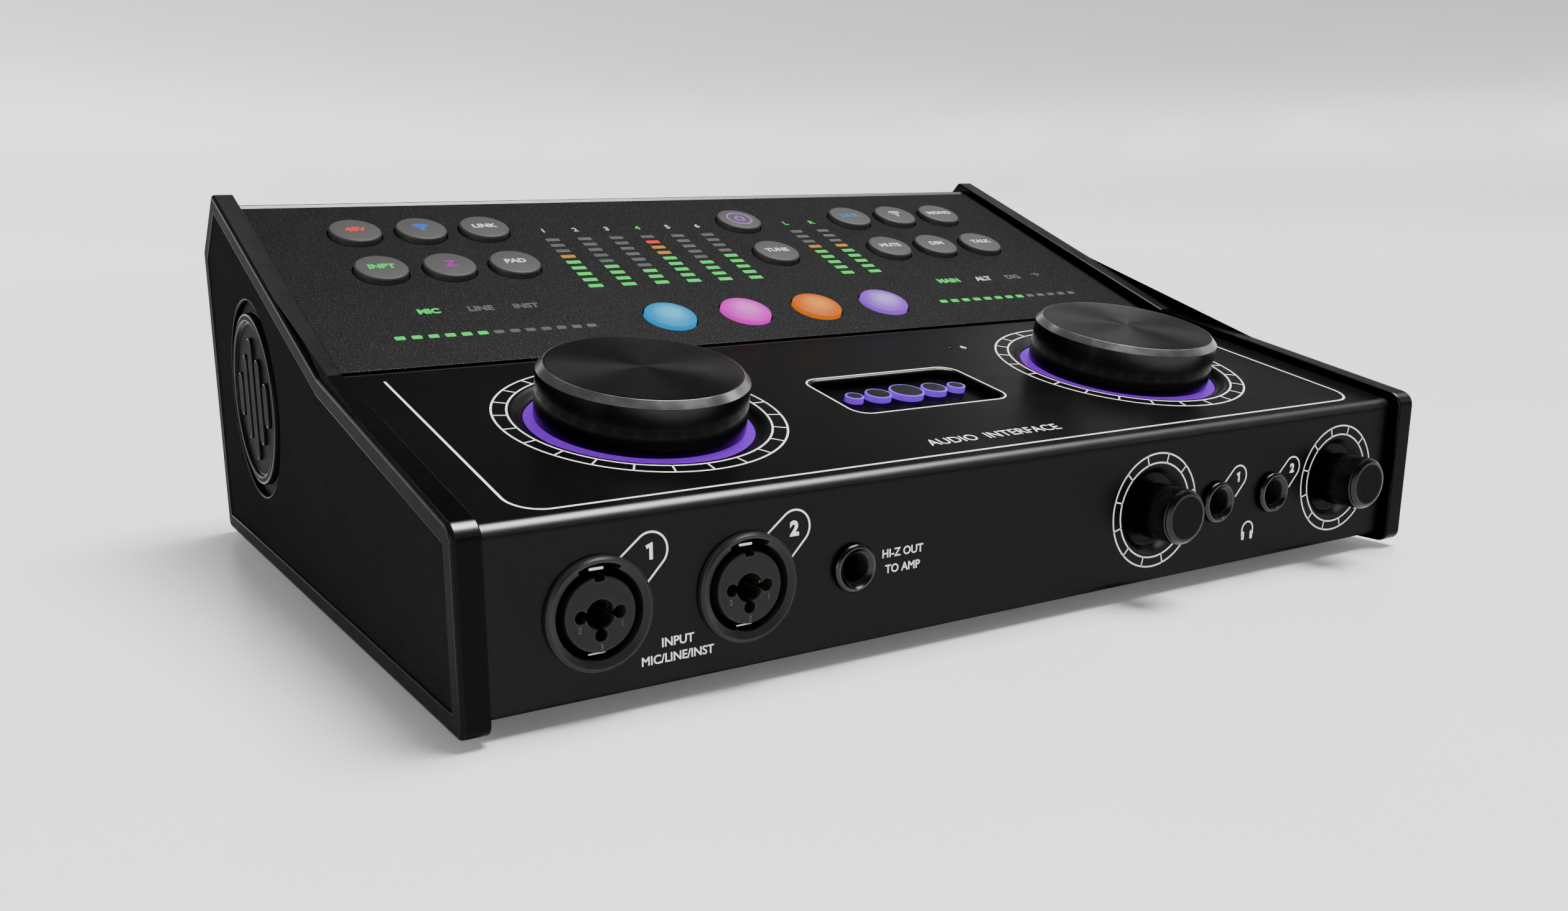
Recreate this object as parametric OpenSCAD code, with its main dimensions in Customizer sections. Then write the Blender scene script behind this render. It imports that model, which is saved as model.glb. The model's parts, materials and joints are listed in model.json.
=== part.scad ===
// Desktop audio interface with a sloping control deck, two cheeks,
// front combo sockets, two large encoders and a panel of round keys.
// The case frame has y = 0 on the front panel's face and z = 0 under the base.

/* [Case] */
// Overall width across the two cheeks
case_w = 300; // [290:1:330]
// Height of the front panel up to the deck's line
front_h = 40.3; // [39:0.1:44]
// Horizontal run of the deck, from the front panel to the kink
deck_run = 94; // [92:1:98]
// Tilt of the deck in degrees
deck_tilt = 12; // [11:0.5:13]
// Length of the control slope, from the kink to the rear top edge
slope_len = 107; // [106:1:110]
// Tilt of the control slope in degrees
slope_tilt = 23; // [21:0.5:25]
// Depth from the front panel's face to the rear panel's face
case_d = 210.4; // [209:0.2:216]
// Height of the rear panel's upright part
rear_h = 86; // [84:0.5:88]
// Thickness of the cover's sheet
sheet_t = 2; // [1.6:0.1:2.2]
// Thickness of the base pan and rear panel
pan_t = 1.5; // [1.2:0.1:1.8]
// Outside radius of the bend between front panel and deck
bend_r = 3.5; // [3:0.1:5]

/* [Cheeks] */
// Thickness of each cheek
cheek_t = 6.6; // [5.5:0.1:8]
// How far a cheek stands in front of the front panel
cheek_lead = 2.7; // [1:0.1:3]
// How far a cheek reaches behind the rear panel
cheek_tail = 3; // [3:0.1:5]
// How far a cheek stands above the deck, and above the slope's rear end
cheek_rise = 2.3; // [1.5:0.1:3]
// How far a cheek stands above the slope at the kink
cheek_kink_rise = 3.5; // [2.5:0.1:4]
// How far a cheek reaches below the base
cheek_drop = 2.3; // [0.5:0.1:2.5]
// Corner radius of a cheek's outline
cheek_corner_r = 3; // [2:0.1:4]
// Width of the raised rim round a cheek's field
cheek_rim = 5; // [3.5:0.1:6]
// Depth of a cheek's recessed field
field_depth = 0.8; // [0.4:0.1:1.2]
// Radius of the round badge on a cheek
badge_r = 28.5; // [24:0.5:30]

/* [Encoders] */
// Distance of each large knob from the middle
knob_x = 81.5; // [78:0.5:84]
// Place of the large knobs along the deck
knob_v = 49.6; // [48:0.1:51]
// Radius of a large knob
knob_r = 26.2; // [24:0.1:27]
// Height of a large knob above the deck
knob_h = 12.5; // [10:0.5:15]
// Chamfer round a large knob's top
knob_chamfer = 1.3; // [0.8:0.1:2]
// Outer radius of the light ring under a large knob
ring_r = 28.5; // [28:0.1:29]
// Radius of the pressed dish round a large knob
dish_r = 31.8; // [31:0.1:32.5]

/* [Headphone outputs] */
// Radius of a volume knob
volume_r = 7.3; // [6:0.1:8]
// Reach of a volume knob in front of the panel
volume_reach = 10.6; // [9:0.1:12]
// Radius of the pressed dish round a volume knob
volume_dish_r = 12.3; // [11.5:0.1:12.5]
// Height of the volume knobs above the base
volume_z = 19.7; // [19:0.1:20.5]

/* [Sockets] */
// Height of the front sockets above the base
socket_z = 19; // [18:0.1:20]
// Wall radius of a quarter inch jack's bore
jack_r = 3.3; // [3.2:0.05:3.4]
// Outer radius of a jack's bezel nut
bezel_r = 5.75; // [5.5:0.05:6.2]
// Outer radius of a combo socket's flange
combo_flange_r = 12.5; // [12:0.1:13]
// Radius of a combo socket's opening
combo_mouth_r = 9.75; // [9.6:0.05:10]
// Radius of a combo socket's insulating core
combo_core_r = 8.2; // [8:0.05:8.3]

/* [Keys] */
// Radius of a grey key
key_r = 7.9; // [7.5:0.05:8.5]
// Height of a grey key's crown above the control panel
key_h = 2; // [1.6:0.1:2.6]
// Radius of a coloured key
colour_key_r = 8; // [7.6:0.1:9]
// Height of a coloured key's crown above the control panel
colour_key_h = 1.9; // [1.7:0.1:2.6]
// Gap between a key and its hole
key_gap = 0.3; // [0.2:0.05:0.4]
// Spacing of the grey keys across the panel
key_pitch = 20.8; // [20.5:0.1:21.5]
// Spacing of the coloured keys
colour_pitch = 26.4; // [25:0.05:27]

/* [Feet] */
// Height of the rubber feet below the base
foot_h = 4.2; // [3:0.1:6]
// Radius of the rubber feet
foot_r = 8; // [6:0.5:10]

/* [Hidden] */

$fn = 96;
eps = 0.02;

// Overall frame
inner_w = case_w - 2 * cheek_t;
y_front = -volume_reach;
y_rear = case_d + cheek_tail;
y_mid = (y_front + y_rear) / 2;
kink_z = front_h + deck_run * tan(deck_tilt);
deck_len = deck_run / cos(deck_tilt);
tongue_end = slope_len - 5.6;
flange_y = sheet_t + 12;

// Control panel, seen along the slope from the kink
panel_t = 2;
lip_front = 0.85;
lip_rear = 3.2;
panel_gap = 0.15;
board_t = 1.6;
board_h = -12;
switch_top_h = -8.4;

// Fold between the deck and the panel: where its facet starts along the deck from the kink,
// the facet's rear edge on the slope as [v, h], and the groove's floor in front of the panel
fold_start = 6.8;
FOLD_EDGE = [-2.2, 0.73];
groove_h = -0.9;

// Frame left round the window in the tongue, at its sides and rear
frame_side = 8;

// Key layout: x of each column and v of each row on the slope
left_keys_x = -113.6;
mid_keys_x = 22.9;
right_keys_x = 70.8;
upper_row_v = 82.2;
lower_row_v = 56.4;
colour_row_v = 18.4;
colour_x0 = -37.7;
key_skirt = 2.3;
key_flange = 1.15;
stem_r = 2.5;
stem_h = -7;
window_v = colour_row_v - colour_key_r - key_flange - 0.5;

GREY_KEYS = [
    [left_keys_x, upper_row_v], [left_keys_x + key_pitch, upper_row_v],
    [left_keys_x + 2 * key_pitch, upper_row_v],
    [left_keys_x, lower_row_v], [left_keys_x + key_pitch, lower_row_v],
    [left_keys_x + 2 * key_pitch, lower_row_v],
    [mid_keys_x, upper_row_v], [mid_keys_x, lower_row_v],
    [right_keys_x, upper_row_v], [right_keys_x + key_pitch, upper_row_v],
    [right_keys_x + 2 * key_pitch, upper_row_v],
    [right_keys_x, lower_row_v], [right_keys_x + key_pitch, lower_row_v],
    [right_keys_x + 2 * key_pitch, lower_row_v]
];
COLOUR_KEYS = [for (i = [0:3]) [colour_x0 + i * colour_pitch, colour_row_v]];

// Level meters: columns in the middle of the slope and a bar on each side
meter_x0 = -51.7;
meter_pitch = 11.5;
stereo_x = [42.5, 53.8];
METERS_X = concat([for (i = [0:5]) meter_x0 + i * meter_pitch], stereo_x);
meter_v = 57.6;
meter_len = 36;
meter_wide = 5;
bar_v = 16.7;
bar_x = [-92.8, 94];
bar_len = 61;
bar_wide = 2.6;

// Front panel places
COMBO_X = [-117.9, -81.5];
amp_jack_x = -52.7;
VOLUME_X = [45.9, 120.4];
HEADPHONE_X = [69.7, 92.1];
volume_dish_depth = 2.6;
volume_floor_r = 8.6;
shaft_r = 3;
shaft_fit = 0.05;
bushing_r = 3.5;

// Deck places
dish_depth = 1.6;
well_v = 48.2;
well_w = 49.4;
well_l = 25.2;
well_r = 4;
EMBLEM_DOTS = [[-17.5, 2.6], [-9.6, 3.7], [0, 4.9], [9.6, 3.7], [17.5, 2.6]];
mic_x = 38.9;
mic_v = 76.5;

// Rear panel places, all as seen in the case frame
REAR_COMBO_X = [-112, -78];
rear_combo_z = 45;
LINE_JACK_X = [-42, -22];
LINE_JACK_Z = [32, 56];
MIDI_X = [10, 36];
midi_z = 45;
optical_x = 62;
OPTICAL_Z = [34, 56];
optical_w = 6.4;
usb_x = 84;
usb_z = 34;
inlet_x = 108;
inlet_z = 34;
rocker_x = 108;
rocker_z = 58;

// Power rocker: its pivot under the panel's face and its tilt in the off position
rocker_axis_h = -3.4;
rocker_tilt = 9;

// Badges: the badge's middle, its seat in the cheek and the half pattern of five bars
badge_y = 161.5;
badge_z = 46.5;
badge_seat = 2;
badge_bar_w = 4.6;
BADGE_BARS = [40, 27, 14];

// Screws: x of the rows along the front and rear edges, and (y, z) of each cheek's screws
PAN_SCREWS_X = [-120, 0, 120];
pan_screw_in = 8;
CHEEK_SCREWS = [[20, 12], [195, 12], [60, 40], [195, 78]];

// Combo socket
combo_lip = 1.8;
combo_face = 1.2;
combo_depth = 24;
combo_barrel_r = 11.2;
pin_ring_r = 4.45;
pin_hole_r = 1.45;
PIN_ANGLES = [0, 180, 270];

// ---------------------------------------------------------------- frames

module in_case() { translate([0, -y_mid, foot_h]) children(); }

module on_front(x, z) { in_case() translate([x, 0, z]) rotate([90, 0, 0]) children(); }

module on_rear(x, z) {
    in_case() translate([x, case_d, z]) rotate([-90, 0, 0]) children();
}

module on_deck(x, v) {
    in_case() translate([0, 0, front_h]) rotate([deck_tilt, 0, 0]) translate([x, v, 0]) children();
}

module on_slope(x, v) {
    in_case() translate([0, deck_run, kink_z]) rotate([slope_tilt, 0, 0])
        translate([x, v, 0]) children();
}

// Extrudes a drawing of the (y, z) plane across the width, from x0 to x1
module across(x0, x1) {
    in_case() translate([x0, 0, 0]) rotate([90, 0, 90]) linear_extrude(x1 - x0) children();
}

// ---------------------------------------------------------------- outlines

// Point on the control slope, v along it from the kink and h above it
function slope_at(v, h) = [deck_run, kink_z] + v * [cos(slope_tilt), sin(slope_tilt)]
    + h * [-sin(slope_tilt), cos(slope_tilt)];

// Point on the deck, v along it from the front panel's plane and h above it
function deck_at(v, h) = [0, front_h] + v * [cos(deck_tilt), sin(deck_tilt)]
    + h * [-sin(deck_tilt), cos(deck_tilt)];

// Point where the deck and slope lines meet when both are lowered by d
function kink(d) = let (m = (deck_tilt + slope_tilt) / 2, k = d / cos((slope_tilt - deck_tilt) / 2))
    [deck_run + k * sin(m), kink_z - k * cos(m)];

// Height of the deck's line, lowered by d, over y
function deck_z(y, d) = front_h + y * tan(deck_tilt) - d / cos(deck_tilt);

// Points along an arc from angle a0 to a1
function arc(centre, r, a0, a1, n) =
    [for (i = [0:n]) let (a = a0 + (a1 - a0) * i / n) centre + r * [cos(a), sin(a)]];

// Point where the line through p along u meets the line through q along w
function meet(p, u, q, w) = p + u * cross(q - p, w) / cross(u, w);

// Section of the cover: front panel, bend, deck, fold, groove and tongue under the panel
module cover_section() {
    centre = [bend_r, front_h - bend_r * tan((90 - deck_tilt) / 2)];
    polygon(concat(
        [[0, 0]], arc(centre, bend_r, 180, 90 + deck_tilt, 8),
        [deck_at(deck_len - fold_start, 0), slope_at(FOLD_EDGE[0], FOLD_EDGE[1]),
         slope_at(FOLD_EDGE[0], groove_h), slope_at(lip_front, groove_h),
         slope_at(lip_front, -panel_t), slope_at(tongue_end, -panel_t),
         slope_at(tongue_end, -panel_t - sheet_t), slope_at(-0.8, -panel_t - sheet_t),
         deck_at(deck_len - 5.5, -sheet_t)],
        arc(centre, bend_r - sheet_t, 90 + deck_tilt, 180, 8),
        [[sheet_t, pan_t + sheet_t], [flange_y, pan_t + sheet_t], [flange_y, pan_t],
         [sheet_t, pan_t], [sheet_t, 0]]
    ));
}

// Section of the rear panel: upright part, slanted top and the lip over the slope
module rear_section() {
    top = slope_at(slope_len, 0);
    bend = [case_d, rear_h];
    u = (bend - top) / norm(bend - top);
    inner = top + pan_t * [u[1], -u[0]];
    polygon([
        [case_d, 0], bend, top, slope_at(slope_len - lip_rear, 0),
        slope_at(slope_len - lip_rear, -pan_t),
        meet(slope_at(0, -pan_t), slope_at(1, 0) - slope_at(0, 0), inner, u),
        meet(inner, u, [case_d - pan_t, 0], [0, 1]),
        [case_d - pan_t, 2 * pan_t], [case_d - flange_y, 2 * pan_t],
        [case_d - flange_y, pan_t], [case_d - pan_t, pan_t], [case_d - pan_t, 0]
    ]);
}

// Outline of the base pan's side walls, clear of the cover by d
module wall_section(d) {
    polygon([
        [flange_y + 1, 0], [flange_y + 1, deck_z(flange_y + 1, d)], kink(d),
        slope_at(slope_len - d, -d), [case_d - flange_y - 1, rear_h - 6],
        [case_d - flange_y - 1, 0]
    ]);
}

module cheek_outline(inset = 0) {
    offset(r = cheek_corner_r) offset(delta = -cheek_corner_r - inset)
        polygon([
            [-cheek_lead, -cheek_drop], [-cheek_lead, deck_z(-cheek_lead, -cheek_rise)],
            meet(deck_at(0, cheek_rise), deck_at(1, 0) - deck_at(0, 0),
                 slope_at(0, cheek_kink_rise), slope_at(1, 0) - slope_at(0, 0)),
            slope_at(slope_len + 2.6, cheek_rise),
            [case_d + cheek_tail, rear_h + 1.6], [case_d + cheek_tail, -cheek_drop]
        ]);
}

// Half profile of a smooth pressed dish, from radius r_out down to r_in
function dish_curve(r_out, r_in, depth) =
    [for (i = [0:8]) [r_out + (r_in - r_out) * i / 8, -depth * (1 - cos(180 * i / 8)) / 2]];

// Solid that cuts a pressed dish and the hole of radius r_in below it
module dish_cut(r_out, r_in, depth, below) {
    rotate_extrude() polygon(concat(
        [[0, 1], [r_out, 1]], dish_curve(r_out, r_in, depth), [[r_in, -below], [0, -below]]
    ));
}

module rounded_plate(w, l, r, t) {
    linear_extrude(t) offset(r = r) square([w - 2 * r, l - 2 * r], center = true);
}

// ---------------------------------------------------------------- case

module top_cover() color("#1c1c1e") difference() {
    union() {
        across(-inner_w / 2, inner_w / 2) cover_section();
        // Drawn cups behind the volume knobs
        for (x = VOLUME_X) on_front(x, volume_z) translate([0, 0, -volume_dish_depth - 1.4])
            cylinder(r = volume_floor_r + 1.6, h = volume_dish_depth);
    }
    // Opening under the control panel, clear of the coloured keys' flanges
    on_slope(0, 0) translate([-inner_w / 2 + frame_side, window_v, -panel_t - sheet_t - 2])
        cube([inner_w - 2 * frame_side, tongue_end - frame_side - window_v, sheet_t + 3]);
    for (s = [-1, 1]) on_deck(s * knob_x, knob_v) dish_cut(dish_r, ring_r + 0.1, dish_depth, 6);
    on_deck(0, well_v) translate([0, 0, -sheet_t - 1])
        rounded_plate(well_w, well_l, well_r, sheet_t + 3);
    on_deck(mic_x, mic_v) translate([0, 0, -4]) cylinder(r = 0.6, h = 6);
    for (x = VOLUME_X) on_front(x, volume_z) {
        dish_cut(volume_dish_r, volume_floor_r, volume_dish_depth, volume_dish_depth + 0.01);
        translate([0, 0, -8]) cylinder(r = bushing_r + 0.1, h = 9);
    }
    for (x = COMBO_X) on_front(x, socket_z) translate([0, 0, -4])
        cylinder(r = combo_barrel_r + 0.1, h = 8);
    for (x = concat([amp_jack_x], HEADPHONE_X)) on_front(x, socket_z) translate([0, 0, -4])
        cylinder(r = 4.6, h = 8);
    for (x = PAN_SCREWS_X) in_case() translate([x, pan_screw_in, 0])
        cylinder(r = 1.3, h = 6);
}

module base_pan() color("#202022") difference() {
    union() {
        in_case() translate([-inner_w / 2, sheet_t + 0.2, 0])
            cube([inner_w, case_d - sheet_t - pan_t - 0.4, pan_t]);
        for (s = [0, 1]) mirror([s, 0, 0]) across(inner_w / 2 - pan_t, inner_w / 2)
            wall_section(sheet_t + panel_t + 0.4);
    }
    for (x = PAN_SCREWS_X) in_case() {
        translate([x, pan_screw_in, -1]) cylinder(r = 1.7, h = 4);
        translate([x, case_d - pan_screw_in, -1]) cylinder(r = 1.7, h = 4);
    }
    for (x = [-4:4]) for (y = [0:2]) in_case()
        translate([x * 9 - 2.5, 95 + y * 12, -1]) cube([5, 5, 4]);
    for (s = [-1, 1], p = CHEEK_SCREWS) in_case() translate([s * inner_w / 2, p[0], p[1]])
        rotate([0, 90, 0]) cylinder(r = 1.7, h = 8, center = true);
}

module rear_panel() color("#1c1c1e") difference() {
    across(-inner_w / 2, inner_w / 2) rear_section();
    for (x = REAR_COMBO_X) on_rear(x, rear_combo_z) translate([0, 0, -4])
        cylinder(r = combo_barrel_r + 0.1, h = 8);
    for (x = LINE_JACK_X, z = LINE_JACK_Z) on_rear(x, z) translate([0, 0, -4])
        cylinder(r = 4.6, h = 8);
    for (x = MIDI_X) on_rear(x, midi_z) translate([0, 0, -4]) cylinder(r = 8.6, h = 8);
    for (z = OPTICAL_Z) on_rear(optical_x, z) cube([10.2, 10.2, 8], center = true);
    on_rear(usb_x, usb_z) cube([9.4, 3.6, 8], center = true);
    on_rear(inlet_x, inlet_z) cube([9.2, 11.2, 8], center = true);
    on_rear(rocker_x, rocker_z) cube([13.2, 19.2, 8], center = true);
    // Slot for a cable lock
    on_rear(-137, 20) cube([7, 3, 8], center = true);
    for (x = PAN_SCREWS_X) in_case() translate([x, case_d - pan_screw_in, 0])
        cylinder(r = 1.3, h = 6);
}

module control_panel() color("#161617") difference() {
    on_slope(0, lip_front + panel_gap) translate([-inner_w / 2 + panel_gap, 0, -panel_t])
        cube([inner_w - 2 * panel_gap, slope_len - lip_front - lip_rear - 2 * panel_gap, panel_t]);
    for (k = GREY_KEYS) on_slope(k[0], k[1]) key_hole(key_r);
    for (k = COLOUR_KEYS) on_slope(k[0], k[1]) key_hole(colour_key_r);
}

// Hole for a key, with a small countersink at the surface
module key_hole(r) {
    translate([0, 0, -panel_t - 1]) cylinder(r = r + key_gap, h = panel_t + 2);
    translate([0, 0, -0.4]) cylinder(r1 = r + key_gap, r2 = r + key_gap + 0.5, h = 0.4 + eps);
}

// One cheek, drawn for the right side with its outer face at the case's edge
module cheek() difference() {
    in_case() translate([inner_w / 2, 0, 0]) rotate([90, 0, 90]) difference() {
        linear_extrude(cheek_t) cheek_outline();
        translate([0, 0, cheek_t - field_depth]) linear_extrude(2) cheek_outline(cheek_rim);
    }
    badge_place() translate([0, 0, -badge_seat]) cylinder(r = badge_r + 0.15, h = 6);
    for (p = CHEEK_SCREWS) in_case() translate([inner_w / 2 - 1, p[0], p[1]])
        rotate([0, 90, 0]) cylinder(r = 1.25, h = 5);
}

module left_cheek() color("#0d0d0e") mirror([1, 0, 0]) cheek();

module right_cheek() color("#0d0d0e") cheek();

// Round badge on the right cheek: a rim and a plain pattern of five bars
module badge() badge_place() {
    translate([0, 0, -badge_seat]) cylinder(r = badge_r, h = badge_seat - 0.6);
    translate([0, 0, -1]) difference() {
        cylinder(r = badge_r, h = 1);
        translate([0, 0, -1]) cylinder(r = badge_r - 2.6, h = 3);
    }
    for (i = [-2:2]) translate([i * 8.2, 0, -1]) {
        half = BADGE_BARS[abs(i)] / 2 - badge_bar_w / 2;
        translate([-badge_bar_w / 2, -half, 0]) cube([badge_bar_w, 2 * half, 0.9]);
        for (s = [-1, 1]) translate([0, s * half, 0]) cylinder(d = badge_bar_w, h = 0.9);
    }
}

module badge_place() {
    in_case() translate([case_w / 2 - field_depth, badge_y, badge_z]) rotate([90, 0, 90])
        translate([0, 0, field_depth]) children();
}

module side_badges() color("#101011") {
    badge();
    mirror([1, 0, 0]) badge();
}

// Lit dots on a plate that closes the deck's well from below
module deck_emblem() color("#5a3bd6") on_deck(0, well_v) {
    translate([0, 0, -sheet_t - 1.6]) rounded_plate(well_w + 5, well_l + 5, well_r, 1.6);
    for (d = EMBLEM_DOTS) translate([d[0], 0, -sheet_t - eps])
        cylinder(r = d[1], h = sheet_t - 0.4);
}

module feet() color("#0c0c0c") for (x = [-1, 1], y = [24, case_d - 24])
    translate([x * 124, y - y_mid, 0]) {
        rotate_extrude() polygon([
            [0, 0], [foot_r - 0.8, 0], [foot_r - 0.2, 0.3], [foot_r, 0.9],
            [foot_r - 0.6, foot_h], [0, foot_h]
        ]);
    }

// One pan head screw, its head's underside at z = 0 and its shank above it
module screw(head_r, head_h, shank_r, shank_l) difference() {
    union() {
        translate([0, 0, -head_h]) cylinder(r = head_r, h = head_h);
        cylinder(r = shank_r, h = shank_l);
    }
    for (a = [0, 90]) rotate(a) translate([-head_r * 0.6, -0.3, -head_h - 1])
        cube([head_r * 1.2, 0.6, 1.7]);
}

module screws() color("#3a3a3d") {
    for (x = PAN_SCREWS_X, y = [pan_screw_in, case_d - pan_screw_in]) in_case() translate([x, y, 0])
        screw(2.9, 1.5, 1.25, 6);
    for (s = [0, 1], p = CHEEK_SCREWS) mirror([s, 0, 0]) in_case()
        translate([inner_w / 2 - pan_t, p[0], p[1]]) rotate([0, 90, 0]) screw(2.7, 1.5, 1.2, 5);
}

// ---------------------------------------------------------------- boards

module main_board() color("#14532d") in_case() {
    translate([-125, 60, 12]) cube([250, 120, board_t]);
    // Stand-offs between the base pan and the board
    for (x = [-118, 118], y = [67, 173]) translate([x, y, pan_t]) cylinder(r = 3, h = 12 - pan_t);
    // Power section and a shielded converter can
    translate([80, 80, 12 + board_t]) cube([34, 42, 11]);
    translate([-60, 95, 12 + board_t]) cube([70, 50, 7]);
}

module control_boards() color("#14532d") {
    on_slope(0, 0) translate([-132, 8, board_h - board_t]) cube([264, 86, board_t]);
    for (s = [-1, 1]) on_deck(s * knob_x, knob_v) translate([-28, -24, -15.6])
        cube([56, 48, board_t]);
}

module key_switches() color("#3c3c3f")
    for (k = concat(GREY_KEYS, COLOUR_KEYS)) on_slope(k[0], k[1]) {
        translate([-3, -3, board_h]) cube([6, 6, 2.4]);
        translate([0, 0, board_h + 2.4 - eps]) cylinder(r = 1.7, h = switch_top_h - board_h - 2.4);
    }

// Clear blocks that carry the meters' light up to the panel's windows
module light_guides() color("#c9d8d2") {
    for (x = METERS_X) on_slope(x, meter_v)
        translate([-meter_wide / 2, -meter_len / 2, board_h])
            cube([meter_wide, meter_len, -panel_t - board_h]);
    for (x = bar_x) on_slope(x, bar_v)
        translate([-bar_len / 2, -bar_wide / 2, board_h])
            cube([bar_len, bar_wide, -panel_t - board_h]);
}

// ---------------------------------------------------------------- encoders

module light_rings() color("#7a3cff") for (s = [-1, 1]) on_deck(s * knob_x, knob_v)
    rotate_extrude() polygon([
        [19, -3.6], [ring_r + 2.4, -3.6], [ring_r + 2.4, -sheet_t - 0.05],
        [ring_r, -sheet_t - 0.05], [ring_r, -1.75], [19, -1.75]
    ]);

module encoder_knob(side) color("#0f0f10") on_deck(side * knob_x, knob_v) difference() {
    rotate_extrude() polygon([
        [shaft_r + shaft_fit, 3.4], [6.5, 3.4], [6.5, 9.2], [knob_r - 3.4, 9.2],
        [knob_r - 3.4, -1.2], [knob_r - 0.3, -1.2], [knob_r, -0.9],
        [knob_r, knob_h - knob_chamfer], [knob_r - knob_chamfer, knob_h], [0, knob_h],
        [0, 10.2], [shaft_r + shaft_fit, 10.2]
    ]);
}

module encoder_shaft(side) color("#b5b5b8") on_deck(side * knob_x, knob_v)
    translate([0, 0, -11]) cylinder(r = shaft_r, h = 21);

module encoder_body(side) color("#5b5b60") on_deck(side * knob_x, knob_v) difference() {
    union() {
        translate([-12, -12, -14]) cube([24, 24, 7]);
        translate([0, 0, -7 - eps]) cylinder(r = 8, h = 2.4);
        cylinder_between(4.6, -5, 2.6);
    }
    cylinder_between(shaft_r + shaft_fit, -12, 4);
}

// Cylinder of radius r between two heights
module cylinder_between(r, z0, z1) { translate([0, 0, z0]) cylinder(r = r, h = z1 - z0); }

module left_encoder_knob() encoder_knob(-1);
module left_encoder_shaft() encoder_shaft(-1);
module left_encoder_body() encoder_body(-1);
module right_encoder_knob() encoder_knob(1);
module right_encoder_shaft() encoder_shaft(1);
module right_encoder_body() encoder_body(1);

// ---------------------------------------------------------------- headphones

module volume_knob(i) color("#111112") on_front(VOLUME_X[i], volume_z) rotate_extrude()
    polygon([
        [shaft_r + shaft_fit, 2.2], [volume_r - 1.6, 2.2], [volume_r - 1.6, -1.5],
        [volume_r - 0.3, -1.5], [volume_r, -1.2], [volume_r, volume_reach - 0.8],
        [volume_r - 0.8, volume_reach], [0, volume_reach], [0, 9], [shaft_r + shaft_fit, 9]
    ]);

module volume_shaft(i) color("#b5b5b8") on_front(VOLUME_X[i], volume_z)
    cylinder_between(shaft_r, -11, 8.8);

module headphone_pots() color("#5b5b60") for (x = VOLUME_X) on_front(x, volume_z) difference() {
    union() {
        translate([-6, -6.5, -13]) cube([12, 13, 7.6]);
        cylinder_between(5, -5.5, -volume_dish_depth - 1.45);
        cylinder_between(bushing_r + 0.02, -5.5, 1.4);
        // Nut that holds the pot in its dish
        cylinder_between(5.2, -volume_dish_depth + 0.05, -1);
    }
    cylinder_between(shaft_r + shaft_fit, -12, 4);
}

module headphone_knob_1() volume_knob(0);
module headphone_knob_2() volume_knob(1);
module headphone_shaft_1() volume_shaft(0);
module headphone_shaft_2() volume_shaft(1);

// ---------------------------------------------------------------- sockets

// Quarter inch jack: chamfered bezel nut outside, body with contacts' block inside
module jack_socket() difference() {
    union() {
        rotate_extrude() polygon([
            [0, eps], [bezel_r, eps], [bezel_r, 1.1], [bezel_r - 0.35, 1.6],
            [bezel_r - 1.1, 1.9], [0, 1.9]
        ]);
        cylinder_between(4.5, -3, 1);
        translate([-7.8, -7.8, -27]) cube([15.6, 15.6, 24.6]);
    }
    cylinder_between(jack_r, -25, 4);
    translate([0, 0, 0.7]) cylinder(r1 = jack_r, r2 = jack_r + 1.3, h = 1.3);
}

module amp_out_jack() color("#2a2a2c") on_front(amp_jack_x, socket_z) jack_socket();
module headphone_jack_1() color("#2a2a2c") on_front(HEADPHONE_X[0], socket_z) jack_socket();
module headphone_jack_2() color("#2a2a2c") on_front(HEADPHONE_X[1], socket_z) jack_socket();

module line_jacks() color("#2a2a2c")
    for (x = LINE_JACK_X, z = LINE_JACK_Z) on_rear(x, z) jack_socket();

// Shell of a combo socket: flange outside, barrel and box behind the panel
module combo_shell() difference() {
    union() {
        rotate_extrude() polygon([
            [0, eps], [combo_flange_r, eps], [combo_flange_r, combo_lip - 0.6],
            [combo_flange_r - 0.6, combo_lip], [0, combo_lip]
        ]);
        cylinder_between(combo_barrel_r, -8, 1);
        translate([-13, -13, -combo_depth - 3]) cube([26, 26, combo_depth - 1]);
    }
    cylinder_between(combo_mouth_r, -combo_depth, 4);
    // Key slot at the top of the mouth
    translate([-2.4, 0, -combo_depth + 6]) cube([4.8, combo_mouth_r + 1.3, combo_depth]);
}

// Insulating core: quarter inch bore in the middle, with three pin holes round it
module combo_core() difference() {
    union() {
        cylinder_between(combo_core_r, -combo_depth + 3, combo_face);
        cylinder_between(combo_mouth_r - 0.05, -combo_depth + 0.05, -combo_depth + 4);
    }
    cylinder_between(jack_r, -combo_depth + 2, 4);
    for (a = PIN_ANGLES) rotate(a) translate([pin_ring_r, 0, 0])
        cylinder_between(pin_hole_r, -combo_depth + 5, 4);
}

module combo_shell_1() color("#19191a") on_front(COMBO_X[0], socket_z) combo_shell();
module combo_shell_2() color("#19191a") on_front(COMBO_X[1], socket_z) combo_shell();
module combo_core_1() color("#1f1f20") on_front(COMBO_X[0], socket_z) combo_core();
module combo_core_2() color("#1f1f20") on_front(COMBO_X[1], socket_z) combo_core();

// Gilt sleeve contacts down in the pin holes of the front sockets
module combo_contacts() color("#d4af37") for (x = COMBO_X, a = PIN_ANGLES)
    on_front(x, socket_z) rotate([0, 0, a]) translate([pin_ring_r + 0.25, 0, 0]) difference() {
        cylinder_between(1.15, -combo_depth + 5.05, -3);
        cylinder_between(0.75, -combo_depth + 8, 0);
    }

module rear_combo_sockets() color("#19191a") for (x = REAR_COMBO_X) on_rear(x, rear_combo_z)
    rotate([0, 0, 180]) {
        combo_shell();
        combo_core();
    }

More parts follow.
